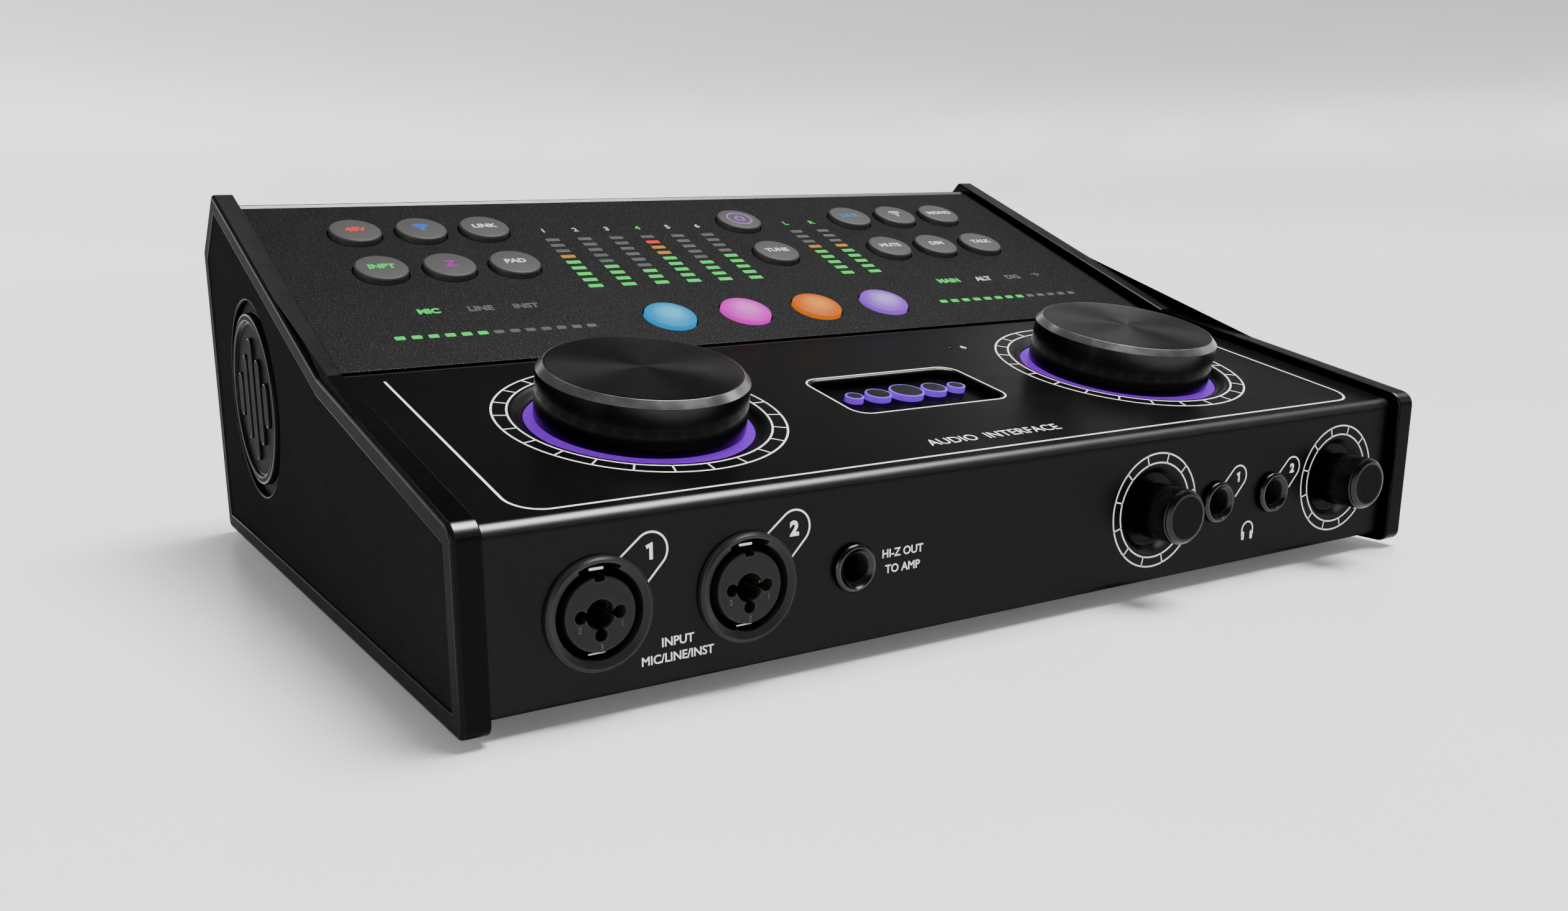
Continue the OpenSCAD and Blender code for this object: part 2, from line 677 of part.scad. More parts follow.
// Five pin round sockets
module midi_sockets() color("#232325") for (x = MIDI_X) on_rear(x, midi_z) difference() {
    union() {
        cylinder_between(10.2, eps, 1.4);
        cylinder_between(8.5, -4, 1);
        translate([-9.5, -9.5, -14]) cube([19, 19, 12.4]);
    }
    cylinder_between(7.1, -7, 4);
    for (a = [0:45:180]) rotate(a) translate([4.1, 0, 0]) cylinder_between(0.8, -11, -5);
}

// Square optical ports, each with its lamp at the bottom
module optical_sockets() color("#202022") for (z = OPTICAL_Z) on_rear(optical_x, z) difference() {
    translate([-5, -5, -12]) cube([10, 10, 12.6]);
    translate([-optical_w / 2, -optical_w / 2, -7]) cube([optical_w, optical_w, 10]);
    cylinder_between(1, -9, 0);
}

// Oval receptacle with its tongue
module usb_socket() color("#8a8a8e") on_rear(usb_x, usb_z) {
    difference() {
        union() {
            translate([-2.9, -1.6, -8]) cube([5.8, 3.2, 8.2]);
            for (s = [-1, 1]) translate([s * 2.9, 0, -8]) cylinder(r = 1.6, h = 8.2);
        }
        translate([-2.9, -1.3, -7]) cube([5.8, 2.6, 8]);
        for (s = [-1, 1]) translate([s * 2.9, 0, -7]) cylinder(r = 1.3, h = 8);
    }
    translate([-3.3, -0.35, -7.5]) cube([6.6, 0.7, 6.6]);
}

module dc_inlet() color("#161617") on_rear(inlet_x, inlet_z) {
    difference() {
        translate([-4.5, -5.5, -14]) cube([9, 11, 14.3]);
        cylinder_between(3.1, -9.5, 1);
    }
    cylinder_between(1.05, -10, -0.8);
}

// Frame that the power rocker swings in
module power_switch() color("#161617") on_rear(rocker_x, rocker_z) difference() {
    union() {
        translate([-8, -11, eps]) cube([16, 22, 1.8]);
        translate([-6.5, -9.5, -16]) cube([13, 19, 17]);
    }
    translate([-5, -8, -9]) cube([10, 16, 14]);
    // Pivot hole through both side walls
    translate([-7, 0, rocker_axis_h]) rotate([0, 90, 0]) cylinder(r = 1.05, h = 14);
}

// Rocker drawn in its off position, with its pivot pin
module power_rocker() color("#242426") on_rear(rocker_x, rocker_z)
    translate([0, 0, rocker_axis_h]) rotate([rocker_tilt, 0, 0]) {
        intersection() {
            translate([-4.7, 0, 0]) rotate([0, 90, 0]) cylinder(r = 7.4, h = 9.4);
            translate([-4.7, -7.2, -1]) cube([9.4, 14.4, 8.2]);
            rocker_face();
        }
        translate([-6.3, 0, 0]) rotate([0, 90, 0]) cylinder(r = 1, h = 12.6);
    }

// Shallow vee on the rocker's outer face
module rocker_face() {
    translate([-6, 0, 0]) rotate([0, 90, 0]) rotate([0, 0, 90]) linear_extrude(12)
        polygon([[-9, -3], [9, -3], [9, 5.2], [0, 4], [-9, 5.2]]);
}

// ---------------------------------------------------------------- keys

// Key cap with a rounded edge and a low crown, a keeper flange and a stem
module key_cap(r, h, edge, crown) rotate_extrude() polygon(concat(
    [[0, stem_h], [stem_r, stem_h], [stem_r, -key_skirt - 1.2], [r + key_flange, -key_skirt - 1.2],
     [r + key_flange, -key_skirt], [r, -key_skirt], [r, h - crown - edge]],
    [for (i = [1:6]) let (a = 15 * i) [r - edge + edge * cos(a), h - crown - edge + edge * sin(a)]],
    [for (i = [1:5]) [(r - edge) * (1 - i / 5), h - crown * (1 - i / 5) * (1 - i / 5)]]
));

module grey_key(i) color("#4a4846") on_slope(GREY_KEYS[i][0], GREY_KEYS[i][1])
    key_cap(key_r, key_h, 0.7, 0.25);

module colour_key(i, c) color(c) on_slope(COLOUR_KEYS[i][0], COLOUR_KEYS[i][1])
    key_cap(colour_key_r, colour_key_h, 0.8, 0.8);

top_cover();
base_pan();
rear_panel();
control_panel();
left_cheek();
right_cheek();
side_badges();
deck_emblem();
feet();
screws();
main_board();
control_boards();
key_switches();
light_guides();
light_rings();
left_encoder_knob();
left_encoder_shaft();
left_encoder_body();
right_encoder_knob();
right_encoder_shaft();
right_encoder_body();
headphone_knob_1();
headphone_shaft_1();
headphone_knob_2();
headphone_shaft_2();
headphone_pots();
headphone_jack_1();
headphone_jack_2();
amp_out_jack();
combo_shell_1();
combo_core_1();
combo_shell_2();
combo_core_2();
combo_contacts();
rear_combo_sockets();
line_jacks();
midi_sockets();
optical_sockets();
usb_socket();
dc_inlet();
power_switch();
power_rocker();
grey_key(0);  // key_phantom
grey_key(1);  // key_wireless_in
grey_key(2);  // key_link_in
grey_key(3);  // key_input
grey_key(4);  // key_polarity
grey_key(5);  // key_pad
grey_key(6);  // key_home
grey_key(7);  // key_tune
grey_key(8);  // key_link_out
grey_key(9);  // key_wireless_out
grey_key(10);  // key_mono
grey_key(11);  // key_mute
grey_key(12);  // key_dim
grey_key(13);  // key_talk
colour_key(0, "#19b5e6");  // colour_key_1
colour_key(1, "#f01ae0");  // colour_key_2
colour_key(2, "#f08a24");  // colour_key_3
colour_key(3, "#9b6cf0");  // colour_key_4
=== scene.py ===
"""Looks for a desktop audio interface: finishes, printed legends, lamps, and the pieces whose
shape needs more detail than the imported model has. Local sizes are in millimetres."""
import json
from math import atan2, cos, degrees, hypot, pi, radians, sin, tan

import bmesh
import bpy
from mathutils import Matrix, Vector


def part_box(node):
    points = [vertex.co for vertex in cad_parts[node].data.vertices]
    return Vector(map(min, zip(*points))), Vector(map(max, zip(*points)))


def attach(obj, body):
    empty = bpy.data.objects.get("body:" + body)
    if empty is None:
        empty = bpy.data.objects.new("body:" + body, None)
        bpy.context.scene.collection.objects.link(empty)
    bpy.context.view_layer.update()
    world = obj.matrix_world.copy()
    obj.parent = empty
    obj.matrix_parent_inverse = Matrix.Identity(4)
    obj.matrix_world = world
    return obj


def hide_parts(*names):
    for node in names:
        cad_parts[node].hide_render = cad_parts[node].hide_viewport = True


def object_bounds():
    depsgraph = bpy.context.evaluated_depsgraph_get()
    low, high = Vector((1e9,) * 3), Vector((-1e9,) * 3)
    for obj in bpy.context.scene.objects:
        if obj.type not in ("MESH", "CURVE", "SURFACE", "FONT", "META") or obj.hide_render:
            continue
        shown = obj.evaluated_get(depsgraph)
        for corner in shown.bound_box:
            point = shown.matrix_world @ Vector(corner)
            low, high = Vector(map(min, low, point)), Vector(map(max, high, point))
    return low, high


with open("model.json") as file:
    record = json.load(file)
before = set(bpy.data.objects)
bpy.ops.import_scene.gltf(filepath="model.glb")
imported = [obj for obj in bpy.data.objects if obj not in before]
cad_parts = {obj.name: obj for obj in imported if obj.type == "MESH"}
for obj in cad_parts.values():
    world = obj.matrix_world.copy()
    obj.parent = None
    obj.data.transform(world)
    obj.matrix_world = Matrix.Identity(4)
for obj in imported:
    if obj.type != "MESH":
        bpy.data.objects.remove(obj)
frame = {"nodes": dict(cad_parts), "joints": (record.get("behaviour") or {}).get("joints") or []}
cad_low, cad_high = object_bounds()

MM = 0.001
NODES = frame["nodes"]
JOINTS = {joint["name"]: joint for joint in frame["joints"]}
TAU = 2 * pi

# ---- places


class Place:
    """A local frame with its origin in metres; points in it are given in millimetres."""

    def __init__(self, origin, normal, right=(1, 0, 0)):
        z = Vector(normal).normalized()
        x = Vector(right)
        y = z.cross(x)
        self.x, self.y, self.z, self.origin = x, y, z, Vector(origin)
        turn = Matrix((x, y, z)).transposed().to_4x4()
        self.base = Matrix.Translation(self.origin) @ turn

    def at(self, x=0.0, y=0.0, h=0.0):
        """Matrix of this frame with its origin moved to a local point."""
        return self.base @ Matrix.Translation(Vector((x, y, h)) * MM)

    def local(self, point):
        """A world point in this frame's millimetres."""
        return (self.base.inverted() @ Vector(point)) / MM


def span(node, axis):
    """Least and greatest projection of a node on an axis, in metres."""
    values = [v.co.dot(axis) for v in NODES[node].data.vertices]
    return min(values), max(values)


def middle(node, place):
    """Middle of a node in a place's x and y, in millimetres."""
    x0, x1 = span(node, place.x)
    y0, y1 = span(node, place.y)
    return (((x0 + x1) / 2 - place.origin.dot(place.x)) / MM,
        ((y0 + y1) / 2 - place.origin.dot(place.y)) / MM)


FRONT_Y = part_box("top_cover")[0].y
REAR_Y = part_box("rear_panel")[1].y
BASE_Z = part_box("base_pan")[0].z
PANEL_HALF_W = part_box("top_cover")[1].x / MM
CASE_HALF_W = cad_high.x / MM

DECK_UP = Vector(JOINTS["left_encoder_turn"]["axis"]).normalized()
KNOB_POINT = Vector(JOINTS["left_encoder_turn"]["pos_m"])
SLOPE_UP = -Vector(JOINTS["key_home_press"]["axis"]).normalized()
SLOPE_H = span("control_panel", SLOPE_UP)[1]
DECK_TILT = atan2(-DECK_UP.y, DECK_UP.z)
SLOPE_TILT = atan2(-SLOPE_UP.y, SLOPE_UP.z)

# The deck meets the front plane at DECK_Z, and the slope at the kink
DECK_Z = KNOB_POINT.z - (KNOB_POINT.y - FRONT_Y) * tan(DECK_TILT)
KINK_Y = (SLOPE_H / cos(SLOPE_TILT) - DECK_Z + FRONT_Y * tan(DECK_TILT)) / (
    tan(DECK_TILT) - tan(SLOPE_TILT))
KINK_Z = DECK_Z + (KINK_Y - FRONT_Y) * tan(DECK_TILT)

front = Place((0, FRONT_Y, BASE_Z), (0, -1, 0))
rear = Place((0, REAR_Y, BASE_Z), (0, 1, 0), right=(-1, 0, 0))
deck = Place((0, FRONT_Y, DECK_Z), DECK_UP)
slope = Place((0, KINK_Y, KINK_Z), SLOPE_UP)
whole = Place((0, FRONT_Y, BASE_Z), (0, 0, 1))

FRONT_H = (DECK_Z - BASE_Z) / MM
DECK_LEN = (KINK_Y - FRONT_Y) / MM / cos(DECK_TILT)
CASE_D = (REAR_Y - FRONT_Y) / MM
KNOB_X = abs(KNOB_POINT.x) / MM
KNOB_V = deck.local(KNOB_POINT).y
PANEL_V = [(v - slope.origin.dot(slope.y)) / MM for v in span("control_panel", slope.y)]
SLOPE_LEN = PANEL_V[1] + 3.35

# ---- outlines


def arc(cx, cy, r, a0, a1, steps):
    """Points on an arc between two angles in degrees."""
    return [polar(r, a0 + (a1 - a0) * i / steps, cx, cy) for i in range(steps + 1)]


def polar(r, angle, x=0.0, y=0.0):
    """A point at a distance and an angle in degrees from (x, y)."""
    return x + r * cos(radians(angle)), y + r * sin(radians(angle))


def shifted(points, x, y):
    """An outline moved by (x, y)."""
    return [(a + x, b + y) for a, b in points]


def rounded_rect(w, l, r, steps=8):
    """Points round a rectangle with round corners, centred on the origin."""
    corners = [(w / 2 - r, l / 2 - r, 0), (r - w / 2, l / 2 - r, 90), (r - w / 2, r - l / 2, 180)]
    corners.append((w / 2 - r, r - l / 2, 270))
    return [p for x, y, a in corners for p in arc(x, y, r, a, a + 90, steps)]


def rounded(points, radii, steps=5, closed=True):
    """Replaces corners of a polyline by arcs. radii is one number, or one for each corner."""
    count = len(points)
    if not hasattr(radii, "__len__"):
        radii = [radii] * count
    made = []
    for i, here in enumerate(points):
        r = radii[i]
        if r <= 0 or (not closed and i in (0, count - 1)):
            made.append(here)
            continue
        p = Vector(here)
        a = (Vector(points[i - 1]) - p).normalized()
        b = (Vector(points[(i + 1) % count]) - p).normalized()
        half = a.angle(b) / 2
        if half > radians(89.5):
            made.append(here)
            continue
        centre = p + (a + b).normalized() * (r / sin(half))
        start, end = p + a * (r / tan(half)), p + b * (r / tan(half))
        u, w = start - centre, end - centre
        turn = u.angle_signed(w)
        for k in range(steps + 1):
            q = u.copy()
            q.rotate(Matrix.Rotation(-turn * k / steps, 2))
            made.append(tuple(centre + q))
    return made


def inset(points, d):
    """A closed outline, anticlockwise, moved inwards by d."""
    count, made = len(points), []
    for i in range(count):
        p, q, s = (Vector(points[j % count]) for j in (i - 1, i, i + 1))
        e, f = (q - p).normalized(), (s - q).normalized()
        n = Vector((-e.y - f.y, e.x + f.x))
        if n.length < 1e-6:
            n = Vector((-e.y, e.x))
        n.normalize()
        scale = max(0.35, n.dot(Vector((-e.y, e.x))))
        made.append(tuple(q + n * (d / scale)))
    return made


# ---- mesh tools


def loft(bm, rings, mat=0, caps=(True, True)):
    """Joins rings of points. A ring of one point closes the surface as a fan."""
    mats = mat if hasattr(mat, "__len__") else [mat] * (len(rings) - 1)
    made = [[bm.verts.new(Vector(p) * MM) for p in ring] for ring in rings]
    for k, (low, high) in enumerate(zip(made, made[1:])):
        count = max(len(low), len(high))
        for i in range(count):
            j = (i + 1) % count
            ways = ((low, i), (low, j), (high, j), (high, i))
            unique = list(dict.fromkeys(ring[at % len(ring)] for ring, at in ways))
            if len(unique) > 2:
                bm.faces.new(unique).material_index = mats[k]
    for ring, wanted, m in ((made[0][::-1], caps[0], mats[0]), (made[-1], caps[1], mats[-1])):
        if wanted and len(ring) > 2:
            bm.faces.new(ring).material_index = m
    return made


def lathe(bm, profile, mat=0, steps=96, cx=0.0, cy=0.0, ripple=None):
    """Turns a profile of (radius, height) round an upright axis. ripple(angle, k) adds to radii."""
    rings = []
    for k, (r, z) in enumerate(profile):
        if r < 1e-6:
            rings.append([(cx, cy, z)])
            continue
        turns = [TAU * i / steps for i in range(steps)]
        radii = [r + ripple(a, k) if ripple else r for a in turns]
        rings.append([(cx + s * cos(a), cy + s * sin(a), z) for s, a in zip(radii, turns)])
    closed = profile[0] == profile[-1]
    if closed:
        rings.pop()
    made = loft(bm, rings, mat, caps=(not closed, not closed))
    if closed:
        m = mat if not hasattr(mat, "__len__") else mat[-1]
        for i in range(steps):
            j = (i + 1) % steps
            bm.faces.new([made[-1][i], made[-1][j], made[0][j], made[0][i]]).material_index = m


def slab(bm, outline, levels, mat=0):
    """A plate: the outline inset by each level's offset at that level's height."""
    rings = [[(x, y, z) for x, y in (inset(outline, d) if d else outline)] for d, z in levels]
    loft(bm, rings, mat)


def prism(bm, outline, x0, x1):
    """A (y, z) section run from x0 to x1."""
    loft(bm, [[(x, y, z) for y, z in outline] for x in (x0, x1)])


def ring_plate(bm, r0, r1, z0, z1, mat=0, steps=128, cx=0.0, cy=0.0):
    """A flat washer."""
    lathe(bm, [(r0, z0), (r1, z0), (r1, z1), (r0, z1), (r0, z0)], mat, steps, cx, cy)


def stroke(bm, points, width, z0, z1, mat=0, closed=False):
    """A line of ink with a width, along a polyline."""
    count, left, right = len(points), [], []
    for i in range(count):
        p = Vector(points[i - 1] if closed or i > 0 else points[i])
        q = Vector(points[i])
        s = Vector(points[(i + 1) % count] if closed or i < count - 1 else points[i])
        e = (q - p).normalized() if (q - p).length > 1e-9 else (s - q).normalized()
        f = (s - q).normalized() if (s - q).length > 1e-9 else e
        n = Vector((-e.y - f.y, e.x + f.x)).normalized()
        d = width / 2 / max(0.5, n.dot(Vector((-e.y, e.x))))
        left.append(q + n * d)
        right.append(q - n * d)
    rings = [[(a.x, a.y, z0), (b.x, b.y, z0), (b.x, b.y, z1), (a.x, a.y, z1)]
        for a, b in zip(left, right)]
    if closed:
        rings.append(rings[0])
    loft(bm, rings, mat, caps=(not closed, not closed))


def linked(name, data):
    """A new object in the scene."""
    made = bpy.data.objects.new(name, data)
    bpy.context.scene.collection.objects.link(made)
    return made


def evaluated_mesh(made):
    """A new mesh of an object with its modifiers or its curve applied."""
    bpy.context.view_layer.update()
    done = made.evaluated_get(bpy.context.evaluated_depsgraph_get())
    return bpy.data.meshes.new_from_object(done)


def text_outline(words, height, bold=0.0, width=None):
    """Flat faces of words, centred, with capitals of the given height, in millimetres."""
    curve = bpy.data.curves.new("words", "FONT")
    curve.body = words
    curve.size = 1.0
    curve.offset = bold
    curve.resolution_u = 4
    curve.align_x = "CENTER"
    holder = linked("words", curve)
    mesh = evaluated_mesh(holder)
    bpy.data.objects.remove(holder)
    xs, ys = [v.co.x for v in mesh.vertices], [v.co.y for v in mesh.vertices]
    k = height / (max(ys) - min(ys))
    kx = k if width is None else width / (max(xs) - min(xs))
    mx, my = (max(xs) + min(xs)) / 2, (max(ys) + min(ys)) / 2
    points = [((v.co.x - mx) * kx, (v.co.y - my) * k) for v in mesh.vertices]
    faces = [tuple(p.vertices) for p in mesh.polygons]
    bpy.data.meshes.remove(mesh)
    return points, faces


def lettering(bm, words, x, y, height, mat=0, z0=-0.02, z1=0.03, crown=None, **style):
    """Words as thin solids at (x, y). crown(x, y) gives the height of the surface below them."""
    points, faces = text_outline(words, height, **style)
    lift = crown or (lambda u, v: 0.0)
    layers = [[bm.verts.new(Vector((x + u, y + v, z + lift(x + u, y + v))) * MM)
        for u, v in points] for z in (z0, z1)]
    edges = {}
    for face in faces:
        bm.faces.new([layers[1][i] for i in face]).material_index = mat
        bm.faces.new([layers[0][i] for i in reversed(face)]).material_index = mat
        for a, b in zip(face, face[1:] + face[:1]):
            edges[(a, b)] = edges.get((a, b), 0) + 1
    for a, b in edges:
        if (b, a) not in edges:
            side = [layers[0][a], layers[0][b], layers[1][b], layers[1][a]]
            bm.faces.new(side).material_index = mat


def settle(mesh, angle):
    """Smooth shading, with edges sharper than the angle kept."""
    mesh.polygons.foreach_set("use_smooth", [True] * len(mesh.polygons))
    mesh.set_sharp_from_angle(angle=radians(angle))
    mesh.update()


def loose_object(name, bm, matrix):
    """An object of a bmesh, which is freed."""
    bmesh.ops.recalc_face_normals(bm, faces=bm.faces)
    mesh = bpy.data.meshes.new(name)
    bm.to_mesh(mesh)
    bm.free()
    made = linked(name, mesh)
    made.matrix_world = matrix
    return made


def cut(target, cutters):
    """Takes the cutters away from the target and removes them."""
    for n, cutter in enumerate(cutters):
        step = target.modifiers.new(f"cut_{n}", "BOOLEAN")
        step.operation = "DIFFERENCE"
        step.solver = "EXACT"
        step.object = cutter
    mesh = evaluated_mesh(target)
    target.modifiers.clear()
    target.data = mesh
    for cutter in cutters:
        bpy.data.objects.remove(cutter)


def piece(made, materials, replaces=(), body="case", angle=32, flat_weight=True):
    """Finishes a piece: shading, materials, its body and the nodes it stands for."""
    settle(made.data, angle)
    for m in materials:
        made.data.materials.append(m)
    if flat_weight:
        weigh = made.modifiers.new("flat_weight", "WEIGHTED_NORMAL")
        weigh.keep_sharp = True
        weigh.weight = 90
    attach(made, body)
    if replaces:
        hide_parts(*replaces)


# ---- materials


def fill(m, node, inputs):
    """Gives a node its inputs: a socket is linked, anything else is a fixed value."""
    for key, value in inputs.items():
        if isinstance(value, bpy.types.NodeSocket):
            m.node_tree.links.new(value, node.inputs[key])
        else:
            node.inputs[key].default_value = value
    return node


def add(m, kind, inputs=()):
    """A new shader node of a material."""
    return fill(m, m.node_tree.nodes.new("ShaderNode" + kind), dict(inputs))


def operate(m, kind, operation, inputs):
    """A new maths node of a material."""
    node = m.node_tree.nodes.new("ShaderNode" + kind)
    node.operation = operation
    return fill(m, node, inputs)


def spread(m, source, low, high, at0=0.3, at1=0.7, curve="LINEAR"):
    """Maps at0 to at1 of a source onto low to high."""
    node = add(m, "MapRange")
    node.interpolation_type = curve
    ends = {"From Min": at0, "From Max": at1, "To Min": low, "To Max": high}
    return fill(m, node, {**ends, "Value": source}).outputs["Result"]


def mix(m, a, b, factor):
    """A colour between two colours."""
    node = add(m, "Mix")
    node.data_type = "RGBA"
    a, b = ((*c, 1) if isinstance(c, tuple) else c for c in (a, b))
    return fill(m, node, {6: a, 7: b, 0: factor}).outputs[2]


def facing(m):
    """The way a surface faces."""
    return add(m, "NewGeometry").outputs["Normal"]


COAT_ROUGHNESS = 0.08
BUMP_DISTANCE = 0.00006
WORN_RADIUS = 0.0006
RING_SCALE = 9000.0


def finish(name, colour, roughness, metallic=0.0, specular=0.5, coat=0.0, grain=0.0,
        grain_scale=2500.0, mottle=0.0, mottle_scale=60.0, rough_swing=0.06, speck=0.0,
        speck_scale=2600.0, emission=None, glow=0.0, wear=0.0, anisotropy=0.0, rings=0.0, edge=1.0,
        painted_bend_highlight=0.0):
    """A surface with fine grain, slow colour change, specks, turned rings, worn edges and a
    highlight painted on bends.
    """
    m = bpy.data.materials.new(name)
    m.use_nodes = True
    shader = fill(m, m.node_tree.nodes["Principled BSDF"], {"Metallic": metallic,
        "Specular IOR Level": specular, "Coat Weight": coat, "Coat Roughness": COAT_ROUGHNESS,
        "Specular Tint": (edge, edge, edge, 1)})
    where = add(m, "TexCoord").outputs["Object"]

    def noise(scale, detail=3.0):
        node = add(m, "TexNoise", {"Scale": scale, "Detail": detail, "Vector": where})
        return node.outputs["Fac"]

    def lifted(by):
        return tuple(min(1.0, c + by) for c in colour)

    light = tuple(min(1.0, c * (1 + mottle) + 0.0015 * mottle) for c in colour)
    dark = tuple(c * (1 - mottle) for c in colour)
    tone = mix(m, dark, light, spread(m, noise(mottle_scale), 0, 1))
    if speck:
        tone = mix(m, tone, lifted(speck), spread(m, noise(speck_scale, 1.0), 0, 1, 0.60, 0.74))
    if wear:
        bevel = add(m, "Bevel", {"Radius": WORN_RADIUS})
        bevel.samples = 4
        dot = operate(m, "VectorMath", "DOT_PRODUCT", {0: bevel.outputs["Normal"], 1: facing(m)})
        tone = mix(m, tone, lifted(wear), spread(m, dot.outputs["Value"], 1, 0, 0.86, 0.995))
    if painted_bend_highlight:
        # Painted highlight: bends between an upward and a forward face get a lighter base colour,
        # chosen by the way their world normal faces
        turned = add(m, "SeparateXYZ", {0: facing(m)})
        both = operate(m, "Math", "MULTIPLY", {0: turned.outputs[1], 1: turned.outputs[2]})
        tone = mix(m, tone, lifted(painted_bend_highlight), spread(m, both.outputs[0], 1, 0, -0.47, -0.26))
    swing = spread(m, noise(mottle_scale * 2.3), roughness - rough_swing, roughness + rough_swing)
    fill(m, shader, {"Base Color": tone, "Roughness": swing})
    height = noise(grain_scale, 2.0) if grain else None
    if rings:
        apart = add(m, "SeparateXYZ", {0: where})
        flat = add(m, "CombineXYZ", {0: apart.outputs[0], 1: apart.outputs[1]})
        far = operate(m, "VectorMath", "LENGTH", {0: flat.outputs[0]})
        wave = add(m, "TexNoise")
        wave.noise_dimensions = "1D"
        fill(m, wave, {"Scale": RING_SCALE, "Detail": 2.0, "W": far.outputs["Value"]})
        height = wave.outputs["Fac"]
    if height is not None:
        bump = add(m, "Bump", {"Strength": grain or rings, "Distance": BUMP_DISTANCE,
            "Height": height})
        fill(m, shader, {"Normal": bump.outputs["Normal"]})
    if anisotropy:
        tangent = add(m, "Tangent")
        tangent.direction_type = "RADIAL"
        tangent.axis = "Z"
        fill(m, shader, {"Anisotropic": anisotropy, "Tangent": tangent.outputs["Tangent"]})
    if emission:
        dim = tuple(c * 0.82 for c in emission)
        lit = mix(m, dim, emission, spread(m, noise(900), 0, 1))
        fill(m, shader, {"Emission Color": lit, "Emission Strength": glow})
    return m


PLASTIC = {"grain_scale": 1800, "mottle": 0.04, "rough_swing": 0.02}
# The chassis has a painted highlight on its bends that face up and forward
CHASSIS = finish("satin_black_coat", (0.0110, 0.0107, 0.0105), 0.34, metallic=1.0, edge=0.55,
    grain=0.14, grain_scale=3200, mottle=0.03, mottle_scale=35, rough_swing=0.015, speck=0.006,
    painted_bend_highlight=0.06)
PAN = finish("pan_coat", (0.014, 0.014, 0.014), 0.45, metallic=1.0, edge=0.5, grain=0.2,
    mottle=0.05)
PANEL = finish("speckled_panel", (0.0115, 0.0115, 0.0115), 0.50, metallic=1.0, edge=0.46,
    grain=0.30, grain_scale=2800, mottle=0.04, mottle_scale=50, rough_swing=0.02, speck=0.04,
    speck_scale=2400)
# The cheeks have a painted highlight on their bends that face up and forward
CHEEK = finish("cheek_rim_plastic", (0.005, 0.005, 0.0053), 0.28, metallic=1.0, edge=0.6,
    grain=0.05, **PLASTIC, painted_bend_highlight=0.07)
CHEEK_EDGE = finish("cheek_edge_plastic", (0.004, 0.004, 0.0042), 0.2, specular=0.04, grain=0.04,
    **PLASTIC)
CHEEK_RIM_FLAT = finish("cheek_rim_flat", (0.009, 0.009, 0.0092), 0.6, specular=0.02, grain=0.08,
    **PLASTIC)
FIELD = finish("cheek_field_plastic", (0.0095, 0.0092, 0.0089), 0.75, specular=0.0, grain=0.40,
    grain_scale=2600, mottle=0.05, rough_swing=0.02, speck=0.012)
BADGE = finish("badge_plastic", (0.0055, 0.0055, 0.0057), 0.5, specular=0.01, grain=0.06,
    **PLASTIC)
BADGE_EDGE = finish("badge_edge_plastic", (0.005, 0.005, 0.0052), 0.25, specular=0.06, grain=0.04,
    **PLASTIC)
PRINT = finish("white_ink", (0.86, 0.86, 0.84), 0.5, specular=0.3, grain=0.1, mottle=0.02)
KNOB_TOP = finish("turned_black", (0.017, 0.0163, 0.0156), 0.30, metallic=1.0, edge=0.5,
    rings=0.35, mottle=0.03, anisotropy=0.85, rough_swing=0.02)
KNOB_SIDE = finish("polished_black", (0.026, 0.025, 0.024), 0.24, metallic=1.0, grain=0.015,
    grain_scale=700, mottle=0.04, rough_swing=0.02)
KNOB_FACE = finish("turned_face", (0.009, 0.0088, 0.0085), 0.26, metallic=1.0, edge=0.5,
    rings=0.35, mottle=0.03, anisotropy=0.85, rough_swing=0.02)
SOFT_EDGE = finish("soft_cut", (0.022, 0.0215, 0.021), 0.2, metallic=1.0, grain=0.05, mottle=0.04)
KNOB_EDGE = finish("bright_cut", (0.32, 0.315, 0.31), 0.26, metallic=1.0, grain=0.05, mottle=0.04)
RING = finish("ring_light", (0.03, 0.0, 0.12), 0.4, specular=0.05, emission=(0.25, 0.0, 0.85),
    glow=0.8, mottle=0.05)
EMBLEM_LIT = finish("emblem_lit", (0.10, 0.04, 0.5), 0.25, emission=(0.22, 0.005, 0.85), glow=0.8,
    coat=0.4, mottle=0.05)
EMBLEM_PLATE = finish("emblem_plate", (0.010, 0.009, 0.013), 0.22, metallic=1.0, edge=0.5,
    grain=0.05, mottle=0.04)
EMBLEM_TOP = finish("emblem_top", (0.030, 0.028, 0.034), 0.35, metallic=1.0, edge=0.6, grain=0.05,
    mottle=0.04)
RUBBER = finish("foot_rubber", (0.018, 0.018, 0.018), 0.75, specular=0.3, grain=0.6,
    grain_scale=1500, mottle=0.15)
DARK_STEEL = finish("dark_steel", (0.12, 0.12, 0.125), 0.38, metallic=1.0, grain=0.08, mottle=0.1)
BOARD = finish("solder_mask", (0.012, 0.09, 0.035), 0.35, coat=0.3, grain=0.1, mottle=0.25,
    mottle_scale=160)
SWITCH = finish("switch_body", (0.03, 0.03, 0.03), 0.5, grain=0.1, mottle=0.1)
GUIDE = finish("clear_guide", (0.55, 0.62, 0.6), 0.25, specular=0.6, grain=0.05, mottle=0.05)
STEEL = finish("plain_steel", (0.55, 0.55, 0.56), 0.3, metallic=1.0, grain=0.06, mottle=0.06)
COMPONENT = finish("component_grey", (0.12, 0.12, 0.13), 0.45, metallic=0.6, grain=0.1, mottle=0.1)
NICKEL = finish("black_nickel", (0.028, 0.027, 0.026), 0.20, metallic=1.0, grain=0.03,
    grain_scale=900, mottle=0.04, wear=0.05)
SHELL = finish("socket_shell", (0.010, 0.0098, 0.0096), 0.32, specular=0.15, grain=0.10,
    grain_scale=2000, mottle=0.05, wear=0.02)
CORE = finish("socket_core", (0.011, 0.0108, 0.0105), 0.45, specular=0.12, grain=0.15,
    grain_scale=2200, mottle=0.05, wear=0.02)
